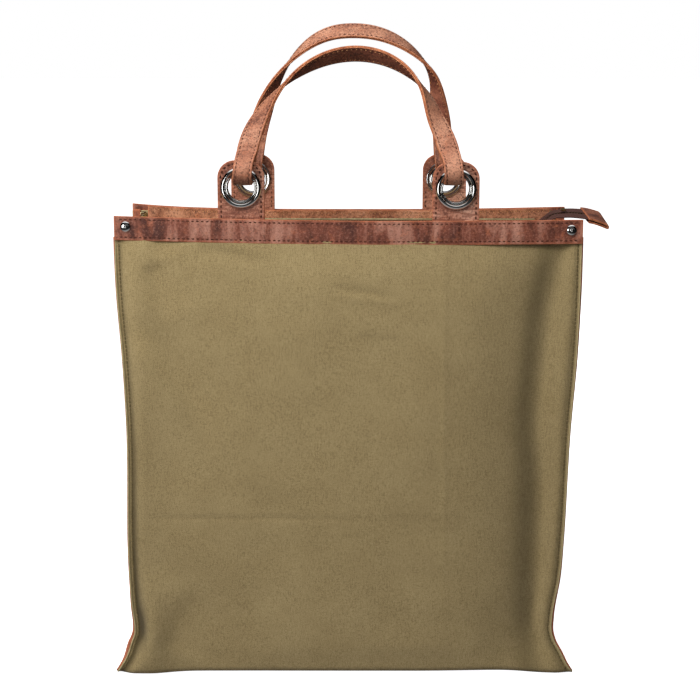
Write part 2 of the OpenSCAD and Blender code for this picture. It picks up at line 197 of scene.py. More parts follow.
def stands_for(made, body, slot, *nodes):
    """Says which body a piece rides on and the CAD nodes that it replaces; its material slot is not used."""
    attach(made, body)
    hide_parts(*nodes)


def soften(made, width, segments=2):
    """Rounds a piece's sharp edges."""
    bevel = made.modifiers.new("round", "BEVEL")
    bevel.width = width * MM
    bevel.segments = segments
    bevel.limit_method = "ANGLE"
    bevel.angle_limit = math.radians(40)
    return made


def grid_quads(rows, cols, wrap=False):
    i = np.arange(rows - 1)[:, None] * cols
    j = np.arange(cols if wrap else cols - 1)[None, :]
    k = (j + 1) % cols
    return np.stack([i + j, i + k, i + cols + k, i + cols + j], -1).reshape(-1, 4)


def grid_normals(p):
    return unit(np.cross(np.gradient(p, axis=1), np.gradient(p, axis=0)))


def edge_distance(p):
    """Each grid point's distance to the sheet's nearest edge, along its row and its column."""
    def along(axis):
        step = np.linalg.norm(np.diff(p, axis=axis), axis=-1)
        zero = np.zeros_like(np.take(step, [0], axis))
        run = np.concatenate([zero, np.cumsum(step, axis)], axis)
        return np.minimum(run, np.take(run, [-1], axis) - run)
    return np.minimum(along(0), along(1))


def plain_part(points, faces, kind=0):
    """A part in one material, without wear or uv."""
    return points, faces, np.full(len(faces), kind), np.zeros(len(points)), np.zeros((len(points), 2))


def sheet_part(outer, thick, towards, uv=None):
    """A grid of outer points given thickness on the side away from a direction its first row looks in.

    The cut rim gets the second material.
    """
    rows, cols = outer.shape[:2]
    normal = grid_normals(outer)
    if np.sum(normal[0, cols // 2] * np.array(towards)) < 0:
        normal = -normal
    points = np.concatenate([outer.reshape(-1, 3), (outer - normal * thick).reshape(-1, 3)])
    n = rows * cols
    front = grid_quads(rows, cols)
    corner = (rows - 1) * cols
    ring = np.concatenate([np.arange(cols), np.arange(1, rows) * cols + cols - 1,
                           np.arange(corner + cols - 2, corner - 1, -1), np.arange(rows - 2, 0, -1) * cols])
    after = np.roll(ring, -1)
    rim = np.stack([after, ring, ring + n, after + n], -1)
    faces = outward(points, np.concatenate([front, front[:, ::-1] + n, rim]))
    kind = np.concatenate([np.zeros(2 * len(front), int), np.ones(len(rim), int)])
    # paler towards the edges: rubbed wear on leather, a painted highlight along canvas edges
    wear_and_edge_highlight = np.tile(np.exp(-edge_distance(outer).ravel() / 0.7), 2)
    uvs = np.tile(uv.reshape(-1, 2), (2, 1)) if uv is not None else np.zeros((2 * n, 2))
    return points, faces, kind, wear_and_edge_highlight, uvs


def joined(parts):
    points, faces, kind, wear_and_edge_highlight, uv = zip(*parts)
    starts = np.cumsum([0] + [len(p) for p in points])
    moved = [[int(i) + start for i in face] for start, group in zip(starts, faces) for face in group]
    return np.concatenate(points), moved, np.concatenate(kind), np.concatenate(wear_and_edge_highlight), np.concatenate(uv)


def sheet(name, parts, body_material, rim_material, width=0.3, painted_shade=None):
    points, faces, kind, wear_and_edge_highlight, uv = joined(parts)
    made = make_object(name, points, faces, [body_material, rim_material], kind, uv, wear_and_edge_highlight, painted_shade=painted_shade)
    return soften(made, width)


def sweep(name, path, width_dir, out_dir, profile, kinds, wear_and_edge_highlight, material):
    """A closed profile of (across, out) points carried along a path."""
    across, outwards = profile[None, :, :1], profile[None, :, 1:]
    sections = path[:, None] + width_dir[:, None] * across + out_dir[:, None] * outwards
    rows, cols = sections.shape[:2]
    caps = []
    for first, turn in ((0, -1), ((rows - 1) * cols, 1)):
        for k in range(cols // 2 - 1):
            quad = [first + k, first + k + 1, first + cols - 2 - k, first + cols - 1 - k]
            caps.append(quad[::turn])
    points = sections.reshape(-1, 3)
    faces = outward(points, np.concatenate([grid_quads(rows, cols, wrap=True), np.array(caps)]))
    kind = np.concatenate([np.tile(kinds, rows - 1), np.ones(len(caps), int)])
    uv = spread(run_length(path)[:, None], profile[None, :, 0]).reshape(-1, 2)
    return make_object(name, points, faces, [material, "edge"], kind, uv, np.tile(wear_and_edge_highlight, rows))


def turned(radius, out, sign, steps):
    """Rings of points about the Y direction, one for each radius and distance outwards."""
    a = np.linspace(0, 2 * math.pi, steps, endpoint=False)
    radius = radius[:, None]
    return spread(radius * np.cos(a), sign * out[:, None], radius * np.sin(a)).reshape(-1, 3)


def lathe(name, profile, centre, sign, steps=72):
    """Turns a closed line of (radius, outward distance) points about the Y direction through centre."""
    r, y = np.array(profile, float).T
    p = turned(r, y, sign, steps) + np.array(centre)
    quads = grid_quads(len(r) + 1, steps, wrap=True) % len(p)
    return make_object(name, p, outward(p, quads), ["nickel"])


def dome(radius, height, centre, sign, steps=40, rings=10):
    """A domed cap with a rounded rim and a flat back, facing along Y."""
    t = np.linspace(0, math.pi / 2, rings)[1:]
    r = np.append(radius * np.sin(t) ** 0.9, radius)
    y = np.append(height * (0.25 + 0.75 * np.cos(t)), 0.0)
    p = np.concatenate([turned(r, y, sign, steps), [[0, sign * height, 0], [0, 0, 0]]]) + np.array(centre)
    faces = grid_quads(len(r), steps, wrap=True).tolist()
    last, tip, back = (len(r) - 1) * steps, len(p) - 2, len(p) - 1
    for i in range(steps):
        j = (i + 1) % steps
        faces += [[i, j, tip], [last + j, last + i, back]]
    return plain_part(p, outward(p, faces))


# ---- stitches ----

STITCH_PITCH, THREAD_L = 4.2, 2.1
FINE_PITCH, FINE_THREAD_L = 3.6, 2.5
BOX_PITCH, BOX_THREAD_L = 3.0, 2.0
THREAD_R = 0.36
THREAD_ARCH, THREAD_DIP = 0.14, 0.2
THREAD_RINGS, THREAD_SIDES, PIT_SIDES = 6, 6, 10
PIT_R, PIT_END = 0.72, 0.35
PIT_LEVELS = ((-0.25, 1.0), (0.04, 0.85))


def stitch_part(line, normal, pitch=STITCH_PITCH, thread_l=THREAD_L):
    """Threads, each in its own pressed pit, along a line on a surface whose outward normals are given."""
    run = run_length(line)
    count = max(1, int(run[-1] // pitch))
    t = np.linspace(-1, 1, THREAD_RINGS)
    size = THREAD_R * np.sqrt(np.clip(1 - t**2, 0.04, 1)) ** 0.6
    lift = THREAD_ARCH * (1 - t**2) - THREAD_DIP * t**2
    a = np.linspace(0, 2 * math.pi, THREAD_SIDES, endpoint=False)
    b = np.linspace(0, 2 * math.pi, PIT_SIDES, endpoint=False)
    first = np.arange(THREAD_SIDES)
    thread_faces = grid_quads(THREAD_RINGS, THREAD_SIDES, wrap=True).tolist()
    thread_faces += [first.tolist(), (first + (THREAD_RINGS - 1) * THREAD_SIDES)[::-1].tolist()]
    ids = np.arange(PIT_SIDES)
    pit_faces = grid_quads(2, PIT_SIDES, wrap=True).tolist()
    pit_faces += [(PIT_SIDES + ids).tolist(), ids[::-1].tolist()]
    parts = []
    for s in (np.arange(count) + 0.5) * run[-1] / count:
        before, centre, after = read_at([max(s - 0.8, 0), s, min(s + 0.8, run[-1])], run, line)
        d = unit(after - before)
        side = unit(np.cross(d, unit(read_at([s], run, normal)[0])))
        n = np.cross(side, d)
        core = centre + d * (t[:, None] * thread_l / 2) + n * lift[:, None]
        rings = core[:, None] + size[:, None, None] * (side * np.cos(a)[:, None] + n * np.sin(a)[:, None])
        parts.append(plain_part(rings.reshape(-1, 3), thread_faces))
        # the pit is a dark oval under each thread: painted shade of its needle holes
        oval = d * ((thread_l / 2 + PIT_END) * np.cos(b))[:, None] + side * (PIT_R * np.sin(b))[:, None]
        pit = np.concatenate([centre + n * height + oval * grow for height, grow in PIT_LEVELS])
        parts.append(plain_part(pit, pit_faces, 1))
    return joined(parts)


def stitches(name, rows, thread, body, pit="hole"):
    points, faces, kind, _, _ = joined(rows)
    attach(make_object(name, points, faces, [thread, pit], kind), body)


# ---- materials ----

def rgb(r, g, b):
    """A colour given as it looks on a screen, 0 to 255, as linear light."""
    def linear(c):
        c /= 255
        return c / 12.92 if c <= 0.04045 else ((c + 0.055) / 1.055) ** 2.4
    return (linear(r), linear(g), linear(b), 1)


class Nodes:
    """Short names for building the node tree of a material or of the world."""

    def __init__(self, owner):
        owner.use_nodes = True
        self.owner = owner
        self.tree = owner.node_tree
        self.coordinates = self.add("ShaderNodeTexCoord").outputs
        self.place = self.coordinates["Object"]

    def add(self, kind, **inputs):
        node = self.tree.nodes.new(kind)
        self.fill(node, inputs)
        return node

    def fill(self, node, inputs):
        for key, value in inputs.items():
            self.put(node.inputs[key.replace("_", " ")], value)

    def put(self, socket, value):
        if isinstance(value, bpy.types.NodeSocket):
            self.tree.links.new(value, socket)
        else:
            socket.default_value = value

    def scaled(self, x, y, z):
        return self.add("ShaderNodeMapping", Vector=self.place, Scale=(x, y, z)).outputs["Vector"]

    def noise(self, scale, detail, roughness, vector=None, distortion=0.0):
        node = self.add("ShaderNodeTexNoise", Vector=vector or self.place, Scale=scale, Detail=detail,
                        Roughness=roughness, Distortion=distortion)
        return node.outputs["Fac"]

    def pebbles(self, scale):
        node = self.add("ShaderNodeTexVoronoi", Vector=self.place, Scale=scale)
        node.feature = "SMOOTH_F1"
        return node.outputs["Distance"]

    def ramp(self, factor, *stops):
        node = self.add("ShaderNodeValToRGB", Fac=factor)
        elements = node.color_ramp.elements
        while len(elements) < len(stops):
            elements.new(0.5)
        for element, (where, colour) in zip(elements, stops):
            element.position = where
            element.color = colour
        return node.outputs["Color"]

    def levels(self, factor, *stops):
        return self.ramp(factor, *((where, (level, level, level, 1)) for where, level in stops))

    def grey(self, value, low, high):
        """0 to 1 as a value runs from low to high."""
        return self.add("ShaderNodeMapRange", Value=value, From_Min=low, From_Max=high).outputs["Result"]

    def between(self, value, low, high):
        """Low to high as a value runs from 0 to 1."""
        return self.add("ShaderNodeMapRange", Value=value, To_Min=low, To_Max=high).outputs["Result"]

    def math(self, operation, a, b=0.0):
        node = self.add("ShaderNodeMath")
        node.operation = operation
        self.put(node.inputs[0], a)
        self.put(node.inputs[1], b)
        return node.outputs[0]

    def times(self, a, b):
        return self.math("MULTIPLY", a, b)

    def plus(self, a, b):
        return self.math("ADD", a, b)

    def mix(self, factor, a, b, blend="MIX"):
        node = self.add("ShaderNodeMix")
        node.data_type = "RGBA"
        node.blend_type = blend
        for socket, value in zip((node.inputs["Factor"], *node.inputs[6:8]), (factor, a, b)):
            self.put(socket, value)
        return node.outputs[2]

    def over(self, colour, paint, amount, value, low=0.0, high=1.0):
        """A colour with some paint laid over it as a value runs from low to high."""
        return self.mix(self.times(self.grey(value, low, high), amount), colour, paint)

    def bump(self, height, distance, strength):
        node = self.add("ShaderNodeBump", Height=height, Distance=distance, Strength=strength)
        return node.outputs["Normal"]

    def painted(self, name):
        node = self.add("ShaderNodeAttribute")
        node.attribute_name = name
        return node.outputs["Fac"]

    def done(self, **inputs):
        self.fill(self.tree.nodes["Principled BSDF"], inputs)
        return self.owner


LEATHER_RELIEF = 0.00025


def material_nodes(name):
    return Nodes(bpy.data.materials.new(name))


def leather(name, dark, mid, light, gloss, tan=rgb(208, 120, 78), wrinkle=None, patches=(20, 20, 20),
            grain=1.0):
    """Waxed pull-up leather: cloudy browns, paler where it was bent, tan where edges are rubbed."""
    n = material_nodes(name)
    cloud = n.noise(1, 5, 0.62, n.scaled(*patches), 0.6)
    streak = n.noise(150, 6, 0.7, distortion=0.6)
    speck = n.noise(560, 4, 0.75)
    fine = n.noise(1300, 3, 0.7)
    colour = n.ramp(cloud, (0.38, dark), (0.50, mid), (0.62, light))
    colour = n.over(colour, tan, 0.45, streak, 0.54, 0.70)
    colour = n.over(colour, rgb(62, 32, 25), 0.70 * grain, speck, 0.50, 0.62)
    colour = n.over(colour, light, 0.55 * grain, speck, 0.47, 0.36)
    colour = n.over(colour, rgb(60, 30, 22), 0.35 * grain, fine, 0.5, 0.7)
    colour = n.over(colour, tan, 0.6, n.painted("wear_and_edge_highlight"))
    pebble = n.plus(n.times(n.pebbles(1100), 0.7), n.times(n.noise(600, 5, 0.7), 1.2))
    height = n.plus(pebble, n.times(streak, 0.9))
    if wrinkle:
        lines = n.noise(1, 4, 0.6, n.scaled(*wrinkle), 0.7)
        height = n.plus(height, n.times(lines, 3.0))
        colour = n.over(colour, dark, 0.7, lines, 0.52, 0.44)
    rough = n.between(n.plus(cloud, n.times(fine, 0.3)), gloss - 0.1, gloss + 0.16)
    return n.done(Base_Color=colour, Roughness=rough, Normal=n.bump(height, LEATHER_RELIEF, 0.9),
                  Specular_IOR_Level=0.5)


def raw_edge(name, colour, dark):
    """The cut side of leather: fibrous and matt."""
    n = material_nodes(name)
    fibre = n.noise(1500, 5, 0.7)
    mixed = n.mix(n.grey(n.noise(160, 4, 0.6), 0.35, 0.72), colour, dark)
    mixed = n.over(mixed, dark, 0.35, fibre)
    return n.done(Base_Color=mixed, Roughness=0.8, Normal=n.bump(fibre, LEATHER_RELIEF, 0.8),
                  Specular_IOR_Level=0.25)


def canvas(name, base, pale, deep, pitch=0.00085):
    """Tight plain weave: two sets of threads that go over and under each other."""
    n = material_nodes(name)
    cloth = n.add("ShaderNodeUVMap")
    cloth.uv_map = "cloth"
    split = n.add("ShaderNodeSeparateXYZ", Vector=cloth.outputs["UV"]).outputs
    weft, warp = (n.math("ABSOLUTE", n.math("SINE", n.times(split[axis], math.pi / pitch))) for axis in "XY")
    diagonal = n.math("SINE", n.times(n.plus(split["X"], split["Y"]), math.pi / pitch))
    weft_top = n.grey(diagonal, -0.25, 0.25)
    weave = n.plus(n.times(weft, weft_top), n.times(warp, n.math("SUBTRACT", 1.0, weft_top)))
    slub = n.noise(1, 3, 0.6, n.scaled(160, 160, 1500))
    cross_slub = n.noise(1, 3, 0.6, n.scaled(1500, 160, 160))
    mottle = n.noise(950, 3, 0.7)
    colour = n.over(base, pale, 0.5, n.noise(26, 5, 0.65), 0.36, 0.66)
    colour = n.over(colour, deep, 0.55, mottle, 0.48, 0.66)
    colour = n.over(colour, pale, 0.55, mottle, 0.48, 0.34)
    colour = n.over(colour, pale, 0.40, slub, 0.50, 0.68)
    colour = n.over(colour, deep, 0.40, cross_slub, 0.50, 0.68)
    colour = n.over(colour, deep, 0.32, n.math("SUBTRACT", 1.0, weave))
    # painted shade: deep olive where the canvas's shade values are high, in the seam grooves, the pinched
    # corner and the valley
    colour = n.over(colour, rgb(62, 50, 24), 0.9, n.painted("painted_shade"))
    # painted highlight: paler along the canvas's cut edges, where they catch the light
    colour = n.over(colour, rgb(196, 178, 132), 0.8, n.painted("wear_and_edge_highlight"))
    height = n.plus(weave, n.times(n.plus(slub, mottle), 0.5))
    return n.done(Base_Color=colour, Roughness=0.88, Normal=n.bump(height, 0.00016, 0.6),
                  Specular_IOR_Level=0.22, Sheen_Weight=0.12, Sheen_Roughness=0.6)


def metal(name, colour, rough, scratch=0.1):
    n = material_nodes(name)
    smear = n.noise(140, 4, 0.6)
    fine = n.noise(2200, 3, 0.6, n.scaled(1, 1, 5))
    tint = n.over(colour, (*(c * 0.55 for c in colour[:3]), 1), 0.18, smear, 0.45, 0.8)
    return n.done(Base_Color=tint, Metallic=1.0, Roughness=n.between(smear, rough * 0.7, rough * 1.6),
                  Normal=n.bump(fine, 0.00003, scratch))


def waxed_thread(name, colour, dark):
    """Thread with its twist."""
    n = material_nodes(name)
    twist = n.noise(2400, 2, 0.5)
    return n.done(Base_Color=n.mix(n.grey(twist, 0.35, 0.7), colour, dark), Roughness=0.6,
                  Normal=n.bump(twist, 0.0001, 0.6), Specular_IOR_Level=0.35)


def tape_weave(name, colour, dark):
    n = material_nodes(name)
    split = n.add("ShaderNodeSeparateXYZ", Vector=n.place).outputs
    ribs = n.math("SINE", n.times(split["X"], 5200.0))
    cross_ribs = n.math("SINE", n.times(split["Y"], 7000.0))
    mixed = n.mix(n.between(ribs, 0.0, 0.6), colour, dark)
    mixed = n.mix(n.times(n.noise(300, 4, 0.6), 0.4), mixed, dark)
    return n.done(Base_Color=mixed, Roughness=0.75, Normal=n.bump(n.plus(ribs, cross_ribs), 0.0001, 0.5),
                  Specular_IOR_Level=0.3)


MATERIAL = {
    "canvas": canvas("olive_canvas", rgb(162, 141, 98), rgb(184, 163, 118), rgb(106, 90, 54)),
    "canvas_cut": raw_edge("canvas_cut_edge", rgb(200, 186, 142), rgb(150, 136, 96)),
    "band": leather("band_leather", rgb(80, 40, 30), rgb(134, 75, 56), rgb(184, 130, 109), 0.40,
                    patches=(46, 46, 12), grain=0.7),
    "inner_band": leather("inner_band_leather", rgb(138, 86, 60), rgb(180, 122, 90), rgb(204, 148, 114), 0.5,
                          patches=(30, 30, 30)),
    "tab": leather("tab_leather", rgb(128, 74, 56), rgb(182, 120, 94), rgb(212, 160, 134), 0.46,
                   wrinkle=(70, 70, 480)),
    "strap": leather("strap_leather", rgb(126, 76, 56), rgb(172, 112, 84), rgb(200, 142, 112), 0.42),
    "lining": leather("lining_leather", rgb(96, 50, 38), rgb(136, 76, 56), rgb(164, 102, 78), 0.55,
                      tan=rgb(180, 104, 70)),
    "gusset": leather("gusset_leather", rgb(104, 52, 36), rgb(148, 82, 58), rgb(172, 106, 78), 0.5),
    "cap": leather("cap_leather", rgb(88, 48, 36), rgb(130, 76, 56), rgb(166, 108, 82), 0.45,
                   patches=(60, 60, 60)),
    "edge": raw_edge("leather_cut_edge", rgb(204, 134, 94), rgb(140, 76, 50)),
    "edge_red": raw_edge("gusset_cut_edge", rgb(216, 108, 66), rgb(140, 56, 34)),
    "nickel": metal("polished_nickel", (0.86, 0.85, 0.83, 1), 0.05, 0.004),
    "brass": metal("antique_brass", rgb(176, 148, 92), 0.28),
    "pale_brass": metal("pale_brass", rgb(226, 204, 156), 0.22),
    # a darker brass for the zip tail's teeth than for its other teeth
    "dark_brass": metal("darker_tail_brass", rgb(104, 80, 56), 0.35),
    "tape": tape_weave("zip_tape", rgb(92, 60, 52), rgb(48, 30, 28)),
    "thread": waxed_thread("brown_thread", rgb(92, 50, 36), rgb(58, 30, 22)),
    "pale_thread": waxed_thread("tan_thread", rgb(226, 164, 114), rgb(170, 108, 72)),
    "olive_thread": waxed_thread("olive_thread", rgb(124, 108, 72), rgb(92, 78, 48)),
    # the needle holes' dark colours are painted shade
    "hole": raw_edge("needle_hole_shade", rgb(74, 38, 28), rgb(44, 22, 17)),
    "canvas_hole_shade": raw_edge("canvas_needle_hole", rgb(92, 80, 50), rgb(66, 56, 34)),
}


# ---- canvas body ----

# Half widths by height; the two sides slump a little differently. Below the pinch the corners flare.
SIDE_EDGE = {
    -1: eased([(0, BASE_HALF + 3.2), (14, HALF_W + 0.2), (28, HALF_W - 5), (38, HALF_W - 8.2),
               (46, HALF_W - 8.2), (62, HALF_W - 6.4), (85, HALF_W - 5.2), (240, HALF_W - 6),
               (297, HALF_W - 4), (354, HALF_W - 0.6), (TOP + 5, HALF_W + 0.5)]),
    1: eased([(0, BASE_HALF - 3), (10, HALF_W - 3.6), (20, HALF_W - 8.6), (31, HALF_W - 14.8),
              (40, HALF_W - 17.4), (52, HALF_W - 17.2), (94, HALF_W - 11), (125, HALF_W - 9),
              (231, HALF_W - 5.4), (297, HALF_W - 1.5), (354, HALF_W), (TOP + 5, HALF_W)])}
SEAM = 3.3
BELLY = 2.4
# Stepped folds: start x, z, end x, z, width, depth. The near side of each steps inwards.
FRONT_STEPS = [(-178, 312, -128, 225, 5.0, 1.9), (-181, 375, -164, 330, 5.0, 1.5),
               (-177, 404, -164, 383, 5.0, 1.3), (-168, 28, -146, 88, 9.0, -1.6),
               (120, 396, 178, 384, 9.0, 0.9)]
BACK_STEPS = [(178, 330, 130, 236, 6.0, -1.6), (176, 120, 140, 60, 7.0, 1.2)]
# Old packing folds: start x, z, end x, z, width, height of the ridge.
FRONT_RIDGES = [(-186, 151, 96, 148, 1.6, -0.55), (84, 398, 88, 30, 2.6, 0.5), (-92, 392, -90, 60, 2.6, 0.28),
                (-12, 362, 42, 354, 3.2, -0.7), (-6, 352, 46, 346, 3.2, 0.6),
                (-128, 396, -70, 384, 4.5, -0.8), (10, 318, 52, 316, 3.0, -0.35)]
BACK_RIDGES = [(-180, 150, 180, 149, 1.6, -0.5), (-88, 396, -90, 24, 2.6, 0.45), (86, 396, 84, 24, 2.6, 0.35)]
# The long valley at the front's right: where it runs and how deep it is, by height.
VALLEY_X = eased([(0, 184), (35, 178), (110, 175), (195, 175), (235, 172), (300, 176), (350, 181),
                  (395, 190)])
VALLEY_DEPTH = eased([(0, 1), (30, 8), (80, 10), (160, 10.5), (240, 10.5), (300, 8.5), (360, 7), (400, 4)])
# Shape of the foot: its rounded fold, how far its corners lift, and how far its middle is drawn in.
CORNER_R = 6.0
FOOT_LIFT = 0.2
BASE_DRAW = 13.0


def edge_gap(x, z):
    """How far in from its side edge a point of the canvas lies."""
    return np.where(x < 0, SIDE_EDGE[-1](z), SIDE_EDGE[1](z)) - np.abs(x)


def top_line(x, back=False):
    """Height of the top edge: it sags between the corners, and the back one sags more."""
    q = x / HALF_W
    if back:
        return TOP - 1.6 + 3.8 * np.abs(q) ** 3 - 1.5 * q**5
    return TOP - 0.4 + 2.6 * np.abs(q) ** 1.7 - 1.5 * q


def to_line(x, z, x0, z0, x1, z1):
    """Signed distance to a line and a fade that falls to nothing past its ends."""
    length = math.hypot(x1 - x0, z1 - z0)
    dx, dz = (x1 - x0) / length, (z1 - z0) / length
    along = ((x - x0) * dx + (z - z0) * dz) / length
    off = (x - x0) * dz - (z - z0) * dx
    return off, smooth((along + 0.12) / 0.24) * smooth((1.12 - along) / 0.5)


def folds(x, z, steps, ridges):
    """Height of the cloth's folds at a point."""
    out = 0
    for *line, width, depth in steps:
        off, fade = to_line(x, z, *line)
        out = out + depth * np.tanh(off / width) * hump(off, 7 * width) * fade
    for *line, width, height in ridges:
        off, fade = to_line(x, z, *line)
        out = out + height * hump(off, width) * fade
    return out


def seam_shape(d):
    """Across the outer few millimetres: a flat seam strip, the stitched groove, then the panel rising."""
    strip, groove, panel = smooth(1 - d / 1.6), smooth(d / 1.6) * smooth((8 - d) / 5), smooth((d - 3) / 12)
    return 0.5 * strip - 1.2 * groove + 3.4 * panel


def corner_splay(z):
    """How far the front's bottom corners stand forward of the rest."""
    return 6.5 * hump(z, 24)


def back_pull(z):
    """How much narrower the back's foot stands than the front's."""
    return 1 - 0.035 * smooth((80 - z) / 80)


def narrowed(x, z, sign):
    """X positions on a panel, drawn in at the back's foot."""
    return x * back_pull(z) if sign > 0 else x


def panel_swell(x, z, seam_depth, relief, waves):
    """How far a panel stands out: its seams, its belly, and relief and waves that fade out at the seams."""
    d = edge_gap(x, z)
    inside = smooth((d - SEAM) / 14)
    low = smooth(z / 30) * smooth((TOP - 16 - z) / 60)
    seams = seam_shape(d) * seam_depth * (0.25 + 0.75 * smooth((TOP - 8 - z) / 40))
    return seams + inside * (relief + low * (BELLY * (1 - (x / HALF_W) ** 2) + waves))


def front_swell(x, z):
    """How far the front stands out from its seams at a point, in mm."""
    off = x - VALLEY_X(z)
    valley = np.where(off < 0, 0.5 * hump(off, 14) + 0.5 * hump(off, 60), hump(off, 14))
    corners = 4.5 * hump(np.abs(x) - 178, 22) * hump(z, 34) + 5.0 * hump(x + 181, 13) * hump(z - 46, 34)
    relief = corners - VALLEY_DEPTH(z) * valley + folds(x, z, FRONT_STEPS, FRONT_RIDGES)
    waves = 0.9 * wobble(x, z, 3, 130) + 0.25 * wobble(x, z, 5, 42)
    right_fade = 1 - 0.65 * smooth((x - 60) / 90)
    return panel_swell(x, z, right_fade, relief, waves) + corner_splay(z) * hump(edge_gap(x, z), 26)


def back_swell(x, z):
    corners = 7.5 * hump(np.abs(x) - 180, 20) * hump(z, 34)
    valley = 3.6 * hump(x + 158, 20) * smooth(z / 50) * smooth((TOP - z) / 120)
    relief = corners - valley + folds(x, z, BACK_STEPS, BACK_RIDGES)
    waves = wobble(x, z, 11, 120) + 0.25 * wobble(x, z, 13, 42)
    return panel_swell(x, z, 1, relief, waves)


SWELL = {-1: front_swell, 1: back_swell}


def front_shade(x, z):
    """Painted shade on the front: along the seams, in the pinched corner, in the valley and along the folds
    that dip in.
    """
    d = edge_gap(x, z)
    low = smooth((330 - z) / 250)
    groove = smooth((d - 1.8) / 1.6) * hump(np.maximum(d - 4.5, 0), 2.2 + 1.4 * low) * (0.35 + 0.35 * low)
    groove = groove * np.where(x < 0, 1.15, 0.35)
    beside = 0.16 * hump(x + 196, 30) * smooth((330 - z) / 120) * smooth((d - 2) / 3)
    pinch = 0.55 * hump(x + 189, 4.5) * hump(z - 46, 20)
    off = x - VALLEY_X(z)
    valley = 0.42 * hump(off + 15, 10 + 4 * smooth((300 - z) / 160)) + 0.2 * hump(off + 34, 28)
    valley = valley * smooth((412 - z) / 20) + 0.26 * smooth((off + 2) / 12) * smooth((440 - z) / 90)
    shade = groove + beside + pinch + valley
    for *line, width, height in FRONT_RIDGES:
        away, fade = to_line(x, z, *line)
        shade = shade + (0.16 if height < 0 else -0.05) * hump(away, width) * fade
    return np.clip(shade, 0, 1)


def canvas_columns(z):
    """X positions across the canvas at height z: close together by the seams, even in between."""
    near = np.array([0, 0.7, 1.4, 2.1, 2.8, 3.4, 4.0, 4.6, 5.4, 6.6, 8.2, 10.2, 13, 16, 20])
    left, right = -SIDE_EDGE[-1](z), SIDE_EDGE[1](z)
    middle = np.linspace(left + near[-1], right - near[-1], 132)[1:-1]
    return np.concatenate([left + near, middle, (right - near)[::-1]])


def canvas_rows():
    """Points of the U-shaped canvas from the front's top, under the base, to the back's top."""
    heights = np.concatenate([np.linspace(TOP - 3, 60, 132), np.linspace(60, CORNER_R, 28)[1:]])
    turns = np.linspace(0, math.pi / 2, 7)[1:]

    def wall(z, sign):
        x = canvas_columns(z)
        z = np.full_like(x, z)
        return np.stack([narrowed(x, z, sign), sign * (CANVAS_OUT + SWELL[sign](x, z)), z], -1)

    def lifted(x):
        return FOOT_LIFT * (1 - smooth(edge_gap(x, 0.0) / 26))

    def corner(turn, sign):
        blend = np.sin(turn)
        z = CORNER_R * (1 - blend)
        x = canvas_columns(CORNER_R) * (1 - blend) + canvas_columns(0.0) * blend
        y = CANVAS_OUT + SWELL[sign](x, np.full_like(x, z)) - CORNER_R * (1 - math.cos(turn))
        return np.stack([narrowed(x, z, sign), sign * y, z + lifted(x) * blend], -1)

    front, back = ([wall(z, sign) for z in heights] + [corner(turn, sign) for turn in turns]
                   for sign in (-1, 1))
    base = []
    for t in np.linspace(0, 1, 26)[1:-1]:
        row = front[-1] * (1 - t) + back[-1] * t
        row[:, 0] *= 1 - BASE_DRAW / BASE_HALF * math.sin(math.pi * t) ** 0.6
        row[:, 2] = lifted(row[:, 0])
        base.append(row)
    p = np.stack(front + base + back[::-1])
    return p, spread(p[..., 0], run_length(p[:, p.shape[1] // 2])[:, None])


def make_canvas():
    p, uv = canvas_rows()
    shade = front_shade(p[..., 0], np.maximum(p[..., 2], 0)).ravel()
    body = sheet("canvas_body", [sheet_part(p, CANVAS_T, (0, -1, 0), uv)], "canvas", "canvas_cut", 0.25,
                 np.tile(shade, 2))
    stands_for(body, "shell", "canvas", "canvas_front", "canvas_back", "canvas_bottom")
    rows = []
    z = np.linspace(TOP - BAND_H - 1, 5, 90)
    for side in (-1, 1):
        x = side * (SIDE_EDGE[side](z) - SEAM)
        for sign in (-1, 1):
            line = np.stack([narrowed(x, z, sign), sign * (CANVAS_OUT + SWELL[sign](x, z) + 0.15), z], -1)
            rows.append(stitch_part(line, np.tile([0, sign, 0], (len(z), 1)), FINE_PITCH, 2.6))
    stitches("seam_stitches", rows, "olive_thread", "shell", "canvas_hole_shade")


# ---- gussets ----

GUSSET_T, GUSSET_FOOT_T = 1.45, 1.3
GUSSET_FOLD = 24
FLANGE_W = 7.5
# How far a gusset's raw edge shows past the canvas, by height.
FLANGE_OVER = {-1: eased([(0, 2.6), (12, 3.0), (28, 4.0), (42, 2.6), (60, 2.0), (140, 1.6), (420, 1.6)]),
               1: eased([(0, 1.8), (20, 1.8), (40, 2.2), (80, 1.6), (420, 1.6)])}


def gusset_wall(side, flange_y):
    """The inward-folded panel between its two flanges, which stay under the canvas up to the band."""
    z = np.concatenate([np.linspace(GUSSET_TOP, 60, 90), np.linspace(60, 3.0, 26)[1:]])[:, None]
    r = np.linspace(-1, 1, 61)[None, :]
    edge = SIDE_EDGE[side](z)
    splay = corner_splay(z)
    fold = np.maximum(GUSSET_FOLD * smooth(z / 150) ** 0.8 + 1.2 * wobble(z, 0, 21 + side, 160), 0)
    x = edge - FLANGE_W - fold * (1 - np.abs(r) ** 1.35) + 0.9 * wobble(z, 60 * r, 8, 120) * (1 - r**2)
    x = x * (1 - np.maximum(r, 0) * (1 - back_pull(z)))
    panel = spread(x, flange_y * r + np.minimum(r, 0) * splay, z)[:, 1:-1]
    over = FLANGE_OVER[side](z)
    lip_x = edge + over - np.array([0, 2.5, 5.0, 6.9]) * (FLANGE_W + over - 0.7) / 6.9
    tuck = CORNER_R - np.sqrt(CORNER_R**2 - np.maximum(CORNER_R - z, 0) ** 2)
    front_lip = spread(lip_x, -flange_y - splay + tuck, z)
    back_lip = spread(lip_x * back_pull(z), flange_y, z)[:, ::-1]
    return np.concatenate([front_lip, panel, back_lip], axis=1) * [side, 1, 1]


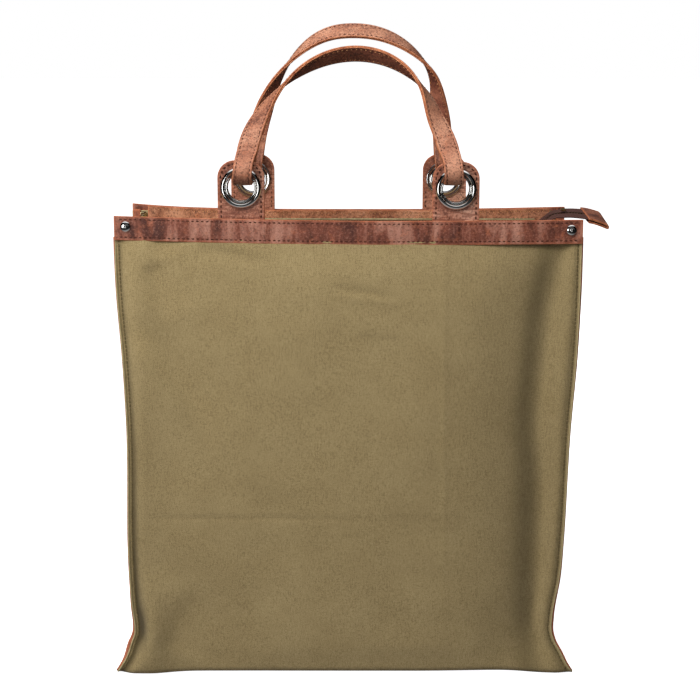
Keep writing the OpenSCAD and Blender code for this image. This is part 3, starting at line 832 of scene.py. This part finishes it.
def gusset_foot(side, flange_y):
    """The strip that lies on the bottom panel, drawn in with the base."""
    t = np.linspace(0.02, 0.98, 40)[:, None]
    y = -flange_y - corner_splay(0.0) + (2 * flange_y + corner_splay(0.0)) * t
    taper = 1.5 + (BASE_DRAW + 2) * np.sin(math.pi * t) ** 0.6 + BASE_HALF * (1 - back_pull(0.0)) * t
    inset = np.linspace(-9, 0, 8)[None, :]
    return spread(side * (SIDE_EDGE[side](0.0) + inset - taper), y,
                  CANVAS_T + GUSSET_GAP + FOOT_LIFT * smooth((inset + 26) / 26))


def gusset_strip(side, y):
    """The end of a flange, under the band."""
    z = np.linspace(TOP - 1.5, GUSSET_TOP + 0.4, 8)[:, None]
    return spread(side * (SIDE_EDGE[side](z) - 0.6 - np.linspace(0, 7, 6)[None, :]), y, z)


def make_gusset(side, node):
    flange_y = CANVAS_IN - GUSSET_GAP
    parts = [sheet_part(gusset_wall(side, flange_y), GUSSET_T, (side, 0, 0)),
             sheet_part(gusset_foot(side, flange_y), GUSSET_FOOT_T, (0, 0, -1))]
    for sign in (-1, 1):
        parts.append(sheet_part(gusset_strip(side, sign * flange_y), GUSSET_T, (0, sign, 0)))
    made = sheet(node + "_leather", parts, "gusset", "edge_red", 0.25)
    stands_for(made, "shell", "gusset_leather", node)


# ---- top bands ----

# Upright creases in the outer bands: x, width, height.
BAND_CREASES = ((-106, 3.0, 0.5), (-94, 2.2, -0.6), (-74, 3.0, 0.55), (-64, 5, -0.4), (-150, 7, 0.5),
                (-172, 4, -0.5), (75, 3.0, -0.5), (95, 2.4, 0.55), (114, 3.2, -0.55), (150, 8, 0.4),
                (20, 9, 0.3), (-20, 7, -0.3))
# Heights of a band's two rows of stitches, as shares of its width from the top.
BAND_ROWS = (0.14, 0.86)
TAB_REACH, TAB_EASE = 34, 12


def band_relief(x, seed):
    creases = sum(height * hump(x - where, width) for where, width, height in BAND_CREASES)
    return 0.35 * wobble(x, 0, seed, 60) + creases


def tab_push(x, place):
    """The tabs between the layers push the inner band inwards round each handle."""
    spots = [grommet_x(f"{place}_{side}") for side in ("left", "right")]
    return sum(smooth((TAB_REACH - np.abs(x - s)) / TAB_EASE) for s in spots)


def make_band(place, layer):
    back, inner = place == "back", layer == "inner"
    sign = 1 if back else -1
    facing = -sign if inner else sign
    half = INNER_BAND_HALF + 2.6 if inner else HALF_W + 0.6
    x = np.linspace(-half, half, 260)[None, :]
    v = np.array([0, 0.05, 0.12, 0.2, 0.35, 0.5, 0.65, 0.8, 0.88, 0.95, 1])[:, None]

    def height(x, v):
        return top_line(x, back) - (0.5 if inner else 0) - v * (BAND_H + 1.3)

    crown = 0.35 * np.sin(math.pi * v) - sum(0.35 * hump(v - row, 0.03) for row in BAND_ROWS)
    if inner:
        beside = CANVAS_IN - 0.4
        y = beside - tab_push(x, place) * (beside - INNER_BAND_OUT) - BAND_T - crown
    else:
        y = BAND_OUT + crown + band_relief(x, 30 + sign) * np.sin(math.pi * v) ** 0.6
    p = spread(x, sign * y, height(x, v))
    node = f"band_{place}_{layer}"
    made = sheet(node + "_leather", [sheet_part(p, BAND_T, (0, facing, 0))],
                 "inner_band" if inner else "band", "edge", 0.35)
    stands_for(made, "shell", "band_leather", node)
    rows = []
    xs = np.linspace(-half + 4, half - 4, 240)
    for row in BAND_ROWS:
        ys = np.interp(xs, x[0], p[np.argmin(np.abs(v[:, 0] - row)), :, 1]) + facing * 0.1
        line = np.stack([xs, ys, height(xs, row)], -1)
        rows.append(stitch_part(line, np.tile([0, facing, 0], (len(line), 1))))
    stitches(node + "_stitches", rows, "pale_thread" if inner else "thread", "shell")


# ---- rivets ----

CAD_RIVET_R = 4.5
RIVET_R, RIVET_RISE = 4.6, 2.1
RIVET_BACK_R, RIVET_BACK_RISE = 3.6, 1.1


def make_rivets():
    low, high = box_mm("rivet_caps")
    caps, backs = [], []
    for side in (-1, 1):
        for sign in (-1, 1):
            x = side * (high[0] - CAD_RIVET_R)
            z = top_line(x, sign > 0) - (TOP - (low[2] + high[2]) / 2)
            caps.append(dome(RIVET_R, RIVET_RISE, [x, sign * (BAND_OUT + 0.45), z], sign))
            inside = [x, sign * (CANVAS_IN - GUSSET_GAP), z]
            backs.append(dome(RIVET_BACK_R, RIVET_BACK_RISE, inside, -sign, 32, 6))
    for name, parts, material, node in (("rivet_domes", caps, "nickel", "rivet_caps"),
                                        ("rivet_backs", backs, "pale_brass", "rivet_posts")):
        points, faces, _, _, _ = joined(parts)
        stands_for(make_object(name, points, faces, [material]), "shell", "nickel", node)


# ---- tabs and grommets ----

TAB_CORNER_R = 15.0
TAB_HOLE_R = 12.6
TAB_STEPS = 168
TAB_RISE = {"front_left": 1.2}
TAB_STITCH_INSET = 3.0
# Rings of a tab's face from its hole to its edge: place as a share, and height of the face there.
TAB_RINGS = ((0, 0), (0.25, 0.02), (0.5, 0.05), (0.72, 0.05), (0.86, -0.22), (0.93, -0.05), (0.97, -0.12),
             (1.0, -0.5))
# Radii of an eyelet: its bore, the inner edge of its rolled rim, and its barrel behind the tab.
BORE, SEAT_R, BARREL_R = 11.5, 13.4, 12.4


def tab_centre(where):
    return np.array([grommet_x(where), 0, GROMMET_Z + TAB_RISE.get(where, 0.0)])


def tab_outline():
    """Points round a tab from its hole's centre: straight sides, rounded top, square foot."""
    half, top, foot = TAB_W / 2, TAB_TOP - GROMMET_Z, TOP - BAND_H + 3 - GROMMET_Z
    r = TAB_CORNER_R
    a = np.linspace(0, math.pi / 2, 14)
    right_top = np.stack([half - r + r * np.sin(a), top - r + r * np.cos(a)], -1)
    left_top = right_top[::-1] * [-1, 1]
    loop = np.concatenate([right_top, [[half, foot], [-half, foot]], left_top])
    loop = np.concatenate([loop, loop[:1]])
    run = run_length(loop)
    return read_at(np.linspace(0, run[-1], TAB_STEPS, endpoint=False), run, loop)


def make_tab(where):
    sign = 1 if where.startswith("back") else -1
    outline = tab_outline()
    hole = unit(outline) * TAB_HOLE_R
    centre = tab_centre(where)
    thick = (TAB_OUT - TAB_IN) / 2
    rings = [(hole + (outline - hole) * share, dip) for share, dip in TAB_RINGS]
    for layer, out, rear_dip in (("outer", TAB_OUT, 0), ("inner", TAB_OUT - thick - 0.02, 1)):
        front = [spread(g[:, 0], out + dip, g[:, 1]) for g, dip in rings]
        rear = [spread(g[:, 0], out - thick + 0.04 - dip * rear_dip, g[:, 1]) for g, dip in rings[::-1]]
        p = np.stack(front + rear)
        bow = 0.54 * np.sin((p[..., 2] - p[..., 2].min()) / 34) * wobble(p[..., 0], p[..., 2], 40, 90)
        p[..., 1] = sign * (p[..., 1] + bow)
        p = p + centre
        quads = grid_quads(len(p) + 1, TAB_STEPS, wrap=True) % (len(p) * TAB_STEPS)
        kind = np.zeros((len(p), TAB_STEPS), int)
        kind[len(rings) - 1] = 1
        gap = np.linalg.norm([outline - g for g, _ in rings + rings[::-1]], axis=2)
        node = f"tab_{where}_{layer}"
        made = make_object(node + "_leather", p.reshape(-1, 3), quads[:, ::-sign], ["tab", "edge"],
                           kind.ravel(), wear_and_edge_highlight=np.exp(-gap / 1.3).ravel())
        stands_for(made, "shell", "tab_leather", node)
    line = outline - unit(np.stack([outline[:, 0], np.maximum(outline[:, 1], 0)], -1)) * TAB_STITCH_INSET
    keep = line[:, 1] > TOP - GROMMET_Z - 1
    order = np.roll(np.arange(TAB_STEPS), -int(np.argmin(keep)))
    line = line[order[keep[order]]]
    rows = []
    for face, facing in ((TAB_OUT, sign), (TAB_IN, -sign)):
        points = spread(line[:, 0], sign * face + facing * 0.05, line[:, 1]) + centre
        rows.append(stitch_part(points, np.tile([0, facing, 0], (len(line), 1))))
    stitches(f"tab_{where}_stitches", rows, "thread", "shell")


def make_grommet(where):
    sign = 1 if where.startswith("back") else -1
    centre = tab_centre(where)
    rim_r = RIM_R + 0.3
    rim = [(rim_r - (rim_r - SEAT_R) * ((1 - math.cos(t)) / 2) ** 0.85,
            TAB_OUT + 0.05 + (RIM_OUT - TAB_OUT) * math.sin(t)) for t in np.linspace(0, math.pi, 41)]
    lip = (SEAT_R - BORE) / 2
    throat = [(BORE + lip + lip * math.cos(t), TAB_OUT + 0.15 + 1.1 * math.sin(t))
              for t in np.linspace(math.pi * 0.1, math.pi, 16)]
    end = [(BORE, ROLL_IN + 0.8), (BORE + 0.4, ROLL_IN + 0.15), (12.8, ROLL_IN), (14.0, ROLL_IN + 0.5),
           (14.2, WASHER_IN - 0.05), (BARREL_R, WASHER_IN - 0.05), (BARREL_R, TAB_OUT + 0.05)]
    ring = lathe(f"grommet_{where}_ring", rim + throat + end, centre, sign)
    half = (WASHER_OUT - WASHER_IN) / 2
    face = [(RIM_R - 1.5 + 0.7 * math.sin(t), WASHER_IN + half - half * math.cos(t))
            for t in np.linspace(0, math.pi, 7)]
    hole_r = BARREL_R + 0.1
    disc = [(hole_r, WASHER_IN)] + face + [(hole_r, WASHER_OUT)]
    washer = lathe(f"washer_{where}_ring", disc, centre, sign)
    stands_for(ring, "shell", "nickel", "grommet_" + where)
    stands_for(washer, "shell", "nickel", "washer_" + where)


# ---- handles ----
# Worked out about the handle's pivot: X along the bag, out of the bag, and V up the handle's own plane.

STRAP_HALF = 9.0
STRAP_T, LINING_T = 1.6, 1.3
STITCH_ACROSS = 6.5
FOLDED_L = 26
PIVOT_RISE = 15.0
LAYER = LINING_T / 2 + 0.15 + STRAP_T / 2
LOOP_R = 11.1
# Heights above the pivot: a leg's start behind the ring, the loop's neck, the folded end, the arch's start.
FOOT_V, NECK_V, FOLD_END_V, LEG_V = -12.0, 18.0, 28.0, 40.0
BOX_V, BOX_HALF = (21.5, 31.5), 5.4
LEG_SLOPE = 0.13
LEG_ROLL = 12
LOOP_NARROWING = 0.07
PATH_STEP = 1.6
# Height, lean, how far the strap rolls over at the top, sideways skew and how far that fades at the top,
# fullness of the arch, and, for the left and right leg, how far its foot and its middle stand inwards;
# bow pushes the right leg out higher up.
HANDLES = {
    "front": dict(rise=113.0, lean=27.0, roll=108.0, skew=6.4, flat=0.0, full=1.0, foot=(1.2, 1.8),
                  pull=(1.2, 6.0), bow=0.0),
    "back": dict(rise=122.0, lean=5.0, roll=128.0, skew=11.5, flat=0.65, full=0.90, foot=(0.0, 0.0),
                 pull=(1.5, 0.4), bow=3.8),
}


def framed(line, n):
    """A line with its width and outward directions made square to it."""
    d = unit(np.gradient(line, axis=0))
    w = unit(np.cross(n, d))
    return line, w, unit(np.cross(d, w))


class Handle:
    """The curve of one handle, and the frames along it."""

    def __init__(self, which, rise, lean, roll, skew, flat, full, foot, pull, bow):
        self.which = which
        self.sign = 1 if which == "back" else -1
        self.span = (grommet_x(which + "_right") - grommet_x(which + "_left")) / 2
        self.height = rise + PIVOT_RISE
        self.lean = math.radians(lean)
        self.roll, self.skew, self.flat, self.full = roll, skew, flat, full
        self.foot, self.pull = ({-1: pair[0], 1: pair[1]} for pair in (foot, pull))
        self.bow = {-1: 0.0, 1: bow}
        self.u0 = math.asin(((LEG_V + PIVOT_RISE) / self.height) ** (1 / full))
        self.pivot = PIVOT[which + "_handle_swing"]

    def arch(self, u):
        c, s = np.cos(u), np.sin(u)
        aside = self.skew * s**2 * (1 - self.flat * s**6)
        return spread(-self.span * np.sign(c) * np.abs(c) ** self.full + aside, 0,
                      self.height * s**self.full - PIVOT_RISE)

    def drawn_in(self, side, v):
        """How far a leg is pulled towards the middle at height v."""
        return self.pull[side] * hump(v - 50, 28) - self.bow[side] * hump(v - 84, 22)

    def leg_x(self, side, v):
        """X of a leg at height v: from the ring at a set slope into the arch at the arch's own."""
        u = self.u0 if side < 0 else math.pi - self.u0
        end, d = self.arch(u), self.arch(u + 0.01) - self.arch(u - 0.01)
        length = LEG_V - FOOT_V
        k = np.clip((v - FOOT_V) / length, 0, 1)
        x = (side * (self.span - self.foot[side]) * (2 * k**3 - 3 * k**2 + 1) + end[0] * (3 * k**2 - 2 * k**3)
             + d[0] / d[2] * length * (k**3 - k**2) - side * LEG_SLOPE * length * (k**3 - 2 * k**2 + k))
        return x - side * self.drawn_in(side, v)

    def centre_line(self):
        """The middle of the strap pair from one neck to the other, with width and outward directions."""
        v = np.linspace(NECK_V + 1, LEG_V, 14)[:-1]
        left, right = (spread(self.leg_x(side, v), 0, v) for side in (-1, 1))
        arch = self.arch(np.linspace(self.u0, math.pi - self.u0, 110))
        for side in (-1, 1):
            arch[:, 0] -= np.where(np.sign(arch[:, 0]) == side, side * self.drawn_in(side, arch[:, 2]), 0)
        line = np.concatenate([left, arch, right[::-1]])
        # the strap lies flat to the bag at its neck and rolls over as the arch climbs
        height = line[:, 2]
        now = np.clip((height + PIVOT_RISE) / self.height, 0, 1) ** (1 / self.full)
        start = ((LEG_V + PIVOT_RISE) / self.height) ** (1 / self.full)
        climb = np.clip((now - start) / (1 - start), 0, 1)
        angle = np.where(height >= LEG_V - 0.01, LEG_ROLL + (self.roll - LEG_ROLL) * climb**0.9,
                         LEG_ROLL * np.clip((height - FOLD_END_V) / (LEG_V - FOLD_END_V), 0, 1))
        angle = np.radians(np.convolve(np.pad(angle, 5, "edge"), np.ones(11) / 11, "valid"))[:, None]
        d = unit(np.gradient(line, axis=0))
        out = np.stack([-d[:, 2], 0 * d[:, 0], d[:, 0]], -1)
        return framed(line, np.array([0, 1, 0]) * np.cos(angle) + out * np.sin(angle))

    def loop(self, side):
        """The outer strap's end: folded-back part, round the tab, and up to the neck."""
        neck = math.atan2(NECK_V, LAYER) - math.acos(LOOP_R / math.hypot(LAYER, NECK_V))
        folded = [(-LAYER - 0.2, v) for v in np.linspace(FOLD_END_V, NECK_V + 1, 6)]
        round_tab = [(LOOP_R * math.cos(t), LOOP_R * math.sin(t))
                     for t in np.linspace(math.pi - neck, 2 * math.pi + neck, 40)]
        flat = np.array(folded + round_tab + [(LAYER, NECK_V + 0.5)])
        run = run_length(flat)
        flat = read_at(np.linspace(0, run[-1], 70), run, flat)
        for _ in range(3):
            flat[1:-1] = (flat[:-2] + flat[2:] + 2 * flat[1:-1]) / 4
        d = unit(np.gradient(flat, axis=0))
        line = spread(self.leg_x(side, flat[:, 1]), flat[:, 0], flat[:, 1])
        return framed(line, spread(0, d[:, 1], -d[:, 0]))

    def turned_out(self, p):
        """Directions, from the handle's own to the bag's."""
        x, out, up = p[..., 0], p[..., 1], p[..., 2]
        c, s = math.cos(self.lean), math.sin(self.lean)
        return np.stack([x, self.sign * (out * c - up * s), out * s + up * c], -1)

    def world(self, p):
        """Points, from the handle's own directions to the bag's."""
        return self.turned_out(p) + self.pivot


def strap_profile(thick):
    """A strap's cross-section, outer face first: crowned between its two rows of stitches."""
    b = thick / 2
    half_across = np.array([8.55, 7.6, 6.9, STITCH_ACROSS, 6.1, 5.0, 2.5, 0])
    half_crown = np.array([-0.05, 0.02, -0.08, -0.2, -0.06, 0.1, 0.2, 0.25])
    across = np.concatenate([-half_across, half_across[-2::-1]])
    crown = np.concatenate([half_crown, half_crown[-2::-1]])
    end = np.array([[STRAP_HALF - 0.12, b - 0.3], [STRAP_HALF, 0.0], [STRAP_HALF - 0.12, -b + 0.3]])
    profile = np.concatenate([spread(across, b + crown), end, spread(across[::-1], -b), end[::-1] * [-1, 1]])
    kinds = np.zeros(len(profile), int)
    n = len(across)
    kinds[n - 1:n + 3] = 1
    kinds[2 * n + 2:] = 1
    return profile, kinds, np.exp(-(STRAP_HALF - np.abs(profile[:, 0])) / 0.4)


def resampled(path, width, out, step):
    """The same line at even steps, with its width and outward directions square to it again."""
    run = run_length(path)
    s = np.linspace(0, run[-1], int(run[-1] / step))
    path, width = read_at(s, run, path), unit(read_at(s, run, width))
    d = unit(np.gradient(path, axis=0))
    width = unit(width - d * np.sum(width * d, axis=1, keepdims=True))
    return path, width, unit(np.cross(d, width))


def make_handle(which):
    handle = Handle(which, **HANDLES[which])
    body = which + "_handle"
    line, w, n = handle.centre_line()
    left, right = handle.loop(-1), handle.loop(1)
    # the outer strap runs from one folded end to the other; its right loop is walked backwards
    path, width, out = (np.concatenate([a, b[1:-1], turn * c[::-1]]) for a, b, c, turn in
                        zip(left, (line + n * LAYER, w, n), right, (1, -1, 1)))
    path, width, out = resampled(path, width, out, PATH_STEP)
    width = width * (1 - LOOP_NARROWING * smooth((22 - path[:, 2:]) / 20))
    profile, kinds, wear_and_edge_highlight = strap_profile(STRAP_T)
    strap = sweep(f"handle_{which}_strap_leather", handle.world(path), handle.turned_out(width),
                  handle.turned_out(out), profile, kinds, wear_and_edge_highlight, "strap")
    stands_for(strap, body, "strap_leather", f"handle_{which}_strap")
    profile, kinds, wear_and_edge_highlight = strap_profile(LINING_T)
    lining = sweep(f"handle_{which}_lining_leather", handle.world(line), handle.turned_out(w),
                   handle.turned_out(n), (profile * [1, -1])[::-1], np.roll(kinds[::-1], -1), wear_and_edge_highlight[::-1],
                   "lining")
    stands_for(lining, body, "lining_leather", f"handle_{which}_lining")
    make_handle_stitches(handle, body, path, width, out, line, w, n)


def make_handle_stitches(handle, body, path, width, out, line, w, n):
    rows, under_rows = [], []
    # the outer strap's two long rows run from one fold to the other
    run = run_length(path)
    keep = (run > FOLDED_L) & (run < run[-1] - FOLDED_L)
    for a in (-STITCH_ACROSS, STITCH_ACROSS):
        p = path + width * a + out * (STRAP_T / 2 - 0.12)
        rows.append(stitch_part(handle.world(p[keep]), handle.turned_out(out[keep])))
        q = line + w * a - n * (LINING_T / 2 - 0.12)
        under_rows.append(stitch_part(handle.world(q), handle.turned_out(-n)))
    a = np.linspace(-BOX_HALF, BOX_HALF, 12)[:, None]

    def cross_row(k, facing, lift):
        face = line[k] + facing * n[k] * lift + w[k] * a
        normal = np.tile(handle.turned_out(facing * n[k]), (len(a), 1))
        rows.append(stitch_part(handle.world(face), normal, BOX_PITCH, BOX_THREAD_L))

    for side in (-1, 1):
        for v in BOX_V:
            k = np.argmin(np.abs(line[:, 2] - v) + (np.sign(line[:, 0]) != side) * 1e3)
            cross_row(k, 1, LAYER + STRAP_T / 2 + 0.06)
            if v < FOLD_END_V:
                cross_row(k, -1, LAYER + STRAP_T / 2 + 0.22)
    stitches(f"handle_{handle.which}_stitches", rows, "thread", body)
    stitches(f"handle_{handle.which}_lining_stitches", under_rows, "pale_thread", body)


# ---- zip ----

TOOTH = np.array([[-3.0, -0.55], [-1.4, -0.6], [-0.5, -0.42], [0.75, -0.52], [0.95, 0.0],
                  [0.75, 0.52], [-0.5, 0.42], [-1.4, 0.6], [-3.0, 0.55]])
TOOTH_LEVELS = ((-2.2, 0.85), (-1.9, 1.0), (-0.3, 1.0), (0.0, 0.85))
TOOTH_PITCH = 2.6


def zip_sag(x):
    """The closed zip hangs a little below its ends."""
    return -0.2 * smooth((HALF_W - 16 - np.abs(x)) / 12)


def make_facing(sign, place):
    low, high = box_mm("zip_facing_front")
    x = np.linspace(low[0], high[0], 150)[None, :]
    v = np.linspace(0, 1, 16)[:, None]
    outer_y = INNER_BAND_OUT - BAND_T - 0.7
    y = outer_y + (-high[1] - outer_y) * v
    uneven = 0.5 * wobble(x, 30 * v, 50 + sign, 80) * np.sin(math.pi * v)
    z = high[2] + zip_sag(x) - 9.5 * (1 - v) ** 1.3 + uneven
    p = spread(x, sign * y, z)
    node = "zip_facing_" + place
    made = sheet(node + "_canvas", [sheet_part(p, 1.1, (0, 0, 1), p[..., :2])], "canvas", "canvas_cut", 0.2)
    stands_for(made, "shell", "facing_canvas", node)
    xs = np.linspace(low[0] + 3, high[0] - 3, 150)
    rows = []
    for k in (14, 12):
        line = np.stack([xs, np.interp(xs, x[0], p[k, :, 1]), np.interp(xs, x[0], p[k, :, 2]) + 0.08], -1)
        rows.append(stitch_part(line, np.tile([0, 0, 1], (len(xs), 1)), FINE_PITCH, FINE_THREAD_L))
    stitches(node + "_stitches", rows, "olive_thread", "shell", "canvas_hole_shade")


def make_tape(sign, place):
    low, high = box_mm("zip_tape_front")
    x = np.linspace(low[0], high[0], 150)[None, :]
    across = np.linspace(0, 1, 8)[:, None]
    z = high[2] + zip_sag(x) * (0.9 + 0.1 * across) - 0.35
    p = spread(x, sign * (-low[1] + (low[1] - high[1]) * across), z)
    node = "zip_tape_" + place
    made = sheet(node + "_cloth", [sheet_part(p, 0.65, (0, 0, 1))], "tape", "tape", 0.1)
    stands_for(made, "shell", "zip_tape", node)


def tooth_part(x, sign, z):
    """One cast tooth: it grips the tape at its root and has a bulb at its tip."""
    n = len(TOOTH)
    p = np.concatenate([spread(x + TOOTH[:, 1] * shrink, -sign * TOOTH[:, 0] * shrink, z + level)
                        for level, shrink in TOOTH_LEVELS])
    last = (len(TOOTH_LEVELS) - 1) * n
    faces = grid_quads(len(TOOTH_LEVELS), n, wrap=True).tolist()
    faces += [list(range(n))[::-1], list(range(last, last + n))]
    return plain_part(p, outward(p, faces))


def tooth_places(start, end, sign):
    """Where the teeth of one side stand; the back's are half a pitch on."""
    return np.arange(start + (TOOTH_PITCH / 2 if sign > 0 else 0), end, TOOTH_PITCH)


def make_teeth(sign, place):
    parts = [tooth_part(x, sign, ZIP_Z + zip_sag(x)) for x in tooth_places(ZIP_START + 1, ZIP_END - 1, sign)]
    points, faces, _, _, _ = joined(parts)
    node = "zip_teeth_" + place
    stands_for(make_object(node + "_metal", points, faces, ["brass"], flat=True), "shell", "zip_metal", node)


def make_tail():
    """The free end of the zip: two tapes with their teeth, running up and out to a folded leather cap."""
    low, high = box_mm("zip_tail_tapes")
    cap_low, cap_high = box_mm("zip_tail_cap")
    start, out = low[0], cap_low[0] + 3
    rise_z = high[2] - 6.4
    lift = eased([(start, ZIP_Z - 3.0), (start + 6, ZIP_Z + 0.4), (start + 13, rise_z - 0.6),
                  (start + 22, rise_z + 1.0), (out, rise_z + 0.2), (cap_high[0] + 2, rise_z - 3.5)])
    roll = eased([(start, 0.0), (start + 16, 6.0), (out, 11.0), (cap_high[0], 15.0)])

    def placed(x, y, h):
        a = np.radians(roll(x))
        return spread(x, y * np.cos(a) - h * np.sin(a), lift(x) + y * np.sin(a) + h * np.cos(a))

    x = np.linspace(start, out, 34)[None, :]
    arch = 0.7 * np.sin(np.linspace(0, math.pi, 8))[:, None]
    teeth = []
    for sign, place in ((-1, "front"), (1, "back")):
        y = sign * np.linspace(16, 1.4, 8)[:, None]
        tape = sheet("tail_tape_" + place, [sheet_part(placed(x, y, arch), 0.9, (0, 0, 1))],
                     "tape", "tape", 0.2)
        stands_for(tape, "zip_tail", "zip_tape", "zip_tail_tapes")
        for at in tooth_places(start + 2, out - 2, sign):
            p, *rest = tooth_part(0.0, sign, 0.0)
            teeth.append((placed(p[:, 0] + at, p[:, 1], p[:, 2] + 0.35), *rest))
    points, faces, _, _, _ = joined(teeth)
    made = make_object("tail_teeth", points, faces, ["dark_brass"], flat=True)
    stands_for(made, "zip_tail", "zip_metal", "zip_tail_teeth")
    # folded cap: over the top, round the outer end and back under
    half_t, leather_t = 2.3, 1.5
    cap_x = np.linspace(cap_low[0] + 1.5, cap_high[0] - 4.5, 16)
    bend = np.linspace(math.pi / 2, -math.pi / 2, 9)[1:-1]
    v = np.linspace(-1, 1, 17)[:, None]
    xs = np.concatenate([cap_x, cap_x[-1] + half_t * np.cos(bend), cap_x[::-1]])[None, :]
    hs = half_t * np.concatenate([np.ones(len(cap_x)), np.sin(bend), -np.ones(len(cap_x))])[None, :]
    height = hs * (1 + 0.25 * (1 - v**2)) + 0.35 * wobble(xs, 20 * v, 77, 26) + 0.3
    half_w = (cap_high[1] - cap_low[1]) / 2 - 0.6
    width = half_w * v * (1 - 0.06 * smooth((xs - cap_x[0]) / 24))
    drop = -1.4 - 2.8 * smooth((xs - cap_low[0]) / 24) ** 1.2
    points = placed(xs - 1.62 * v, width, height + drop)
    cap = sheet("tail_cap_leather", [sheet_part(points, leather_t, (0, 0, 1))], "cap", "edge", 0.35)
    stands_for(cap, "zip_tail", "cap_leather", "zip_tail_cap")


def dress(node, material):
    """Gives a CAD node that is shown as it is its material and rounded edges."""
    shown = frame["nodes"][node]
    shown.data.materials.clear()
    shown.data.materials.append(MATERIAL[material])
    soften(shown, 0.25, 3)


# ---- studio ----

FLOOR_HALF, FLOOR_Z = 40000, -0.4
CAMERA_LENS = 77.57
CAMERA_X, CAMERA_AWAY, CAMERA_RISE = 0.0012, 1.377, 0.139
CAMERA_DOWN, CAMERA_TWIST = 10.937, -0.044
WHITE = (1, 1, 1, 1)


def area_light(name, place, target, size, power, diffuse=True, glossy=True):
    data = bpy.data.lights.new(name, "AREA")
    data.shape = "RECTANGLE"
    data.size, data.size_y = size
    data.energy = power
    light = bpy.data.objects.new(name, data)
    light.location = place
    light.rotation_euler = Vector(np.array(target) - np.array(place)).to_track_quat("-Z", "Y").to_euler()
    light.visible_diffuse = diffuse
    light.visible_glossy = glossy
    bpy.context.scene.collection.objects.link(light)


def floor_material():
    """Pale to the camera and lit from within; mirrors see it fade out into a dark room."""
    n = material_nodes("pale_floor")
    ray = n.add("ShaderNodeLightPath").outputs
    away = n.add("ShaderNodeVectorMath", Vector=n.place)
    away.operation = "LENGTH"
    far = n.times(ray["Is Glossy Ray"], n.grey(away.outputs["Value"], 0.35, 0.8))
    pale = n.mix(ray["Is Camera Ray"], (0.3, 0.3, 0.3, 1), (0.93, 0.93, 0.93, 1))
    n.done(Base_Color=n.mix(far, pale, (0.01, 0.01, 0.01, 1)), Roughness=0.9, Specular_IOR_Level=0.1,
           Emission_Color=WHITE, Emission_Strength=ray["Is Camera Ray"])
    return n.owner


def make_world():
    """Soft grey light; polished metal sees white above, a little in front, and black round the sides."""
    world = bpy.data.worlds.new("studio")
    bpy.context.scene.world = world
    n = Nodes(world)
    ray = n.add("ShaderNodeLightPath").outputs
    split = n.add("ShaderNodeSeparateXYZ", Vector=n.coordinates["Generated"]).outputs
    up = n.plus(n.times(split["Z"], 0.5), 0.5)
    ahead = n.plus(n.times(split["Y"], -0.5), 0.5)
    soft = n.levels(up, (0.0, 0.06), (0.5, 0.10), (0.75, 0.20), (1.0, 0.30))
    front = n.levels(ahead, (0.30, 0.02), (0.45, 0.0), (0.90, 0.0), (0.97, 0.08))
    above = n.levels(up, (0.40, 0.2), (0.47, 0.0), (0.82, 0.0), (0.90, 1.1))
    colour = n.mix(ray["Is Glossy Ray"], soft, n.mix(1.0, front, above, "ADD"))
    n.fill(n.tree.nodes["Background"], {"Color": n.mix(ray["Is Camera Ray"], colour, WHITE), "Strength": 1.0})


def make_studio():
    bpy.context.scene.view_settings.view_transform = "Standard"
    MATERIAL["floor"] = floor_material()
    corners = [[x * FLOOR_HALF, y * FLOOR_HALF, FLOOR_Z] for x, y in ((-1, -1), (1, -1), (1, 1), (-1, 1))]
    make_object("floor", corners, [[0, 1, 2, 3]], ["floor"])
    make_world()
    area_light("key", (-1.35, -1.1, 1.4), (0, 0, 0.25), (0.9, 0.9), 29.8, glossy=False)
    area_light("top", (-0.15, -0.5, 1.1), (0, 0, 0.3), (0.9, 0.3), 5.2, glossy=False)
    area_light("behind", (0.9, 1.8, 0.8), (0, 0, 0.25), (1.2, 1.2), 8, glossy=False)
    area_light("sheen", (-1.0, -1.75, 0.25), (-0.2, 0, 0.4), (0.7, 0.9), 9, diffuse=False)


def make_camera():
    """The photo's view: in front, a little above the rim, looking down about 11 degrees."""
    data = bpy.data.cameras.new("camera")
    data.lens = CAMERA_LENS
    data.clip_end = 50
    camera = bpy.data.objects.new("camera", data)
    camera.location = (CAMERA_X, -CAMERA_AWAY, TOP * MM + CAMERA_RISE)
    camera.rotation_euler = (math.radians(90 - CAMERA_DOWN), math.radians(CAMERA_TWIST), 0)
    bpy.context.scene.collection.objects.link(camera)
    bpy.context.scene.camera = camera


# ---- build ----

make_canvas()
make_gusset(-1, "gusset_left")
make_gusset(1, "gusset_right")
for place in ("front", "back"):
    make_band(place, "outer")
    make_band(place, "inner")
make_rivets()
for spot in ("front_left", "front_right", "back_left", "back_right"):
    make_tab(spot)
    make_grommet(spot)
make_handle("front")
make_handle("back")
for sign, place in ((-1, "front"), (1, "back")):
    make_facing(sign, place)
    make_tape(sign, place)
    make_teeth(sign, place)
make_tail()
for node in ("zip_slider", "zip_puller", "zip_top_stops", "zip_tail_stop"):
    dress(node, "brass")
make_studio()
make_camera()
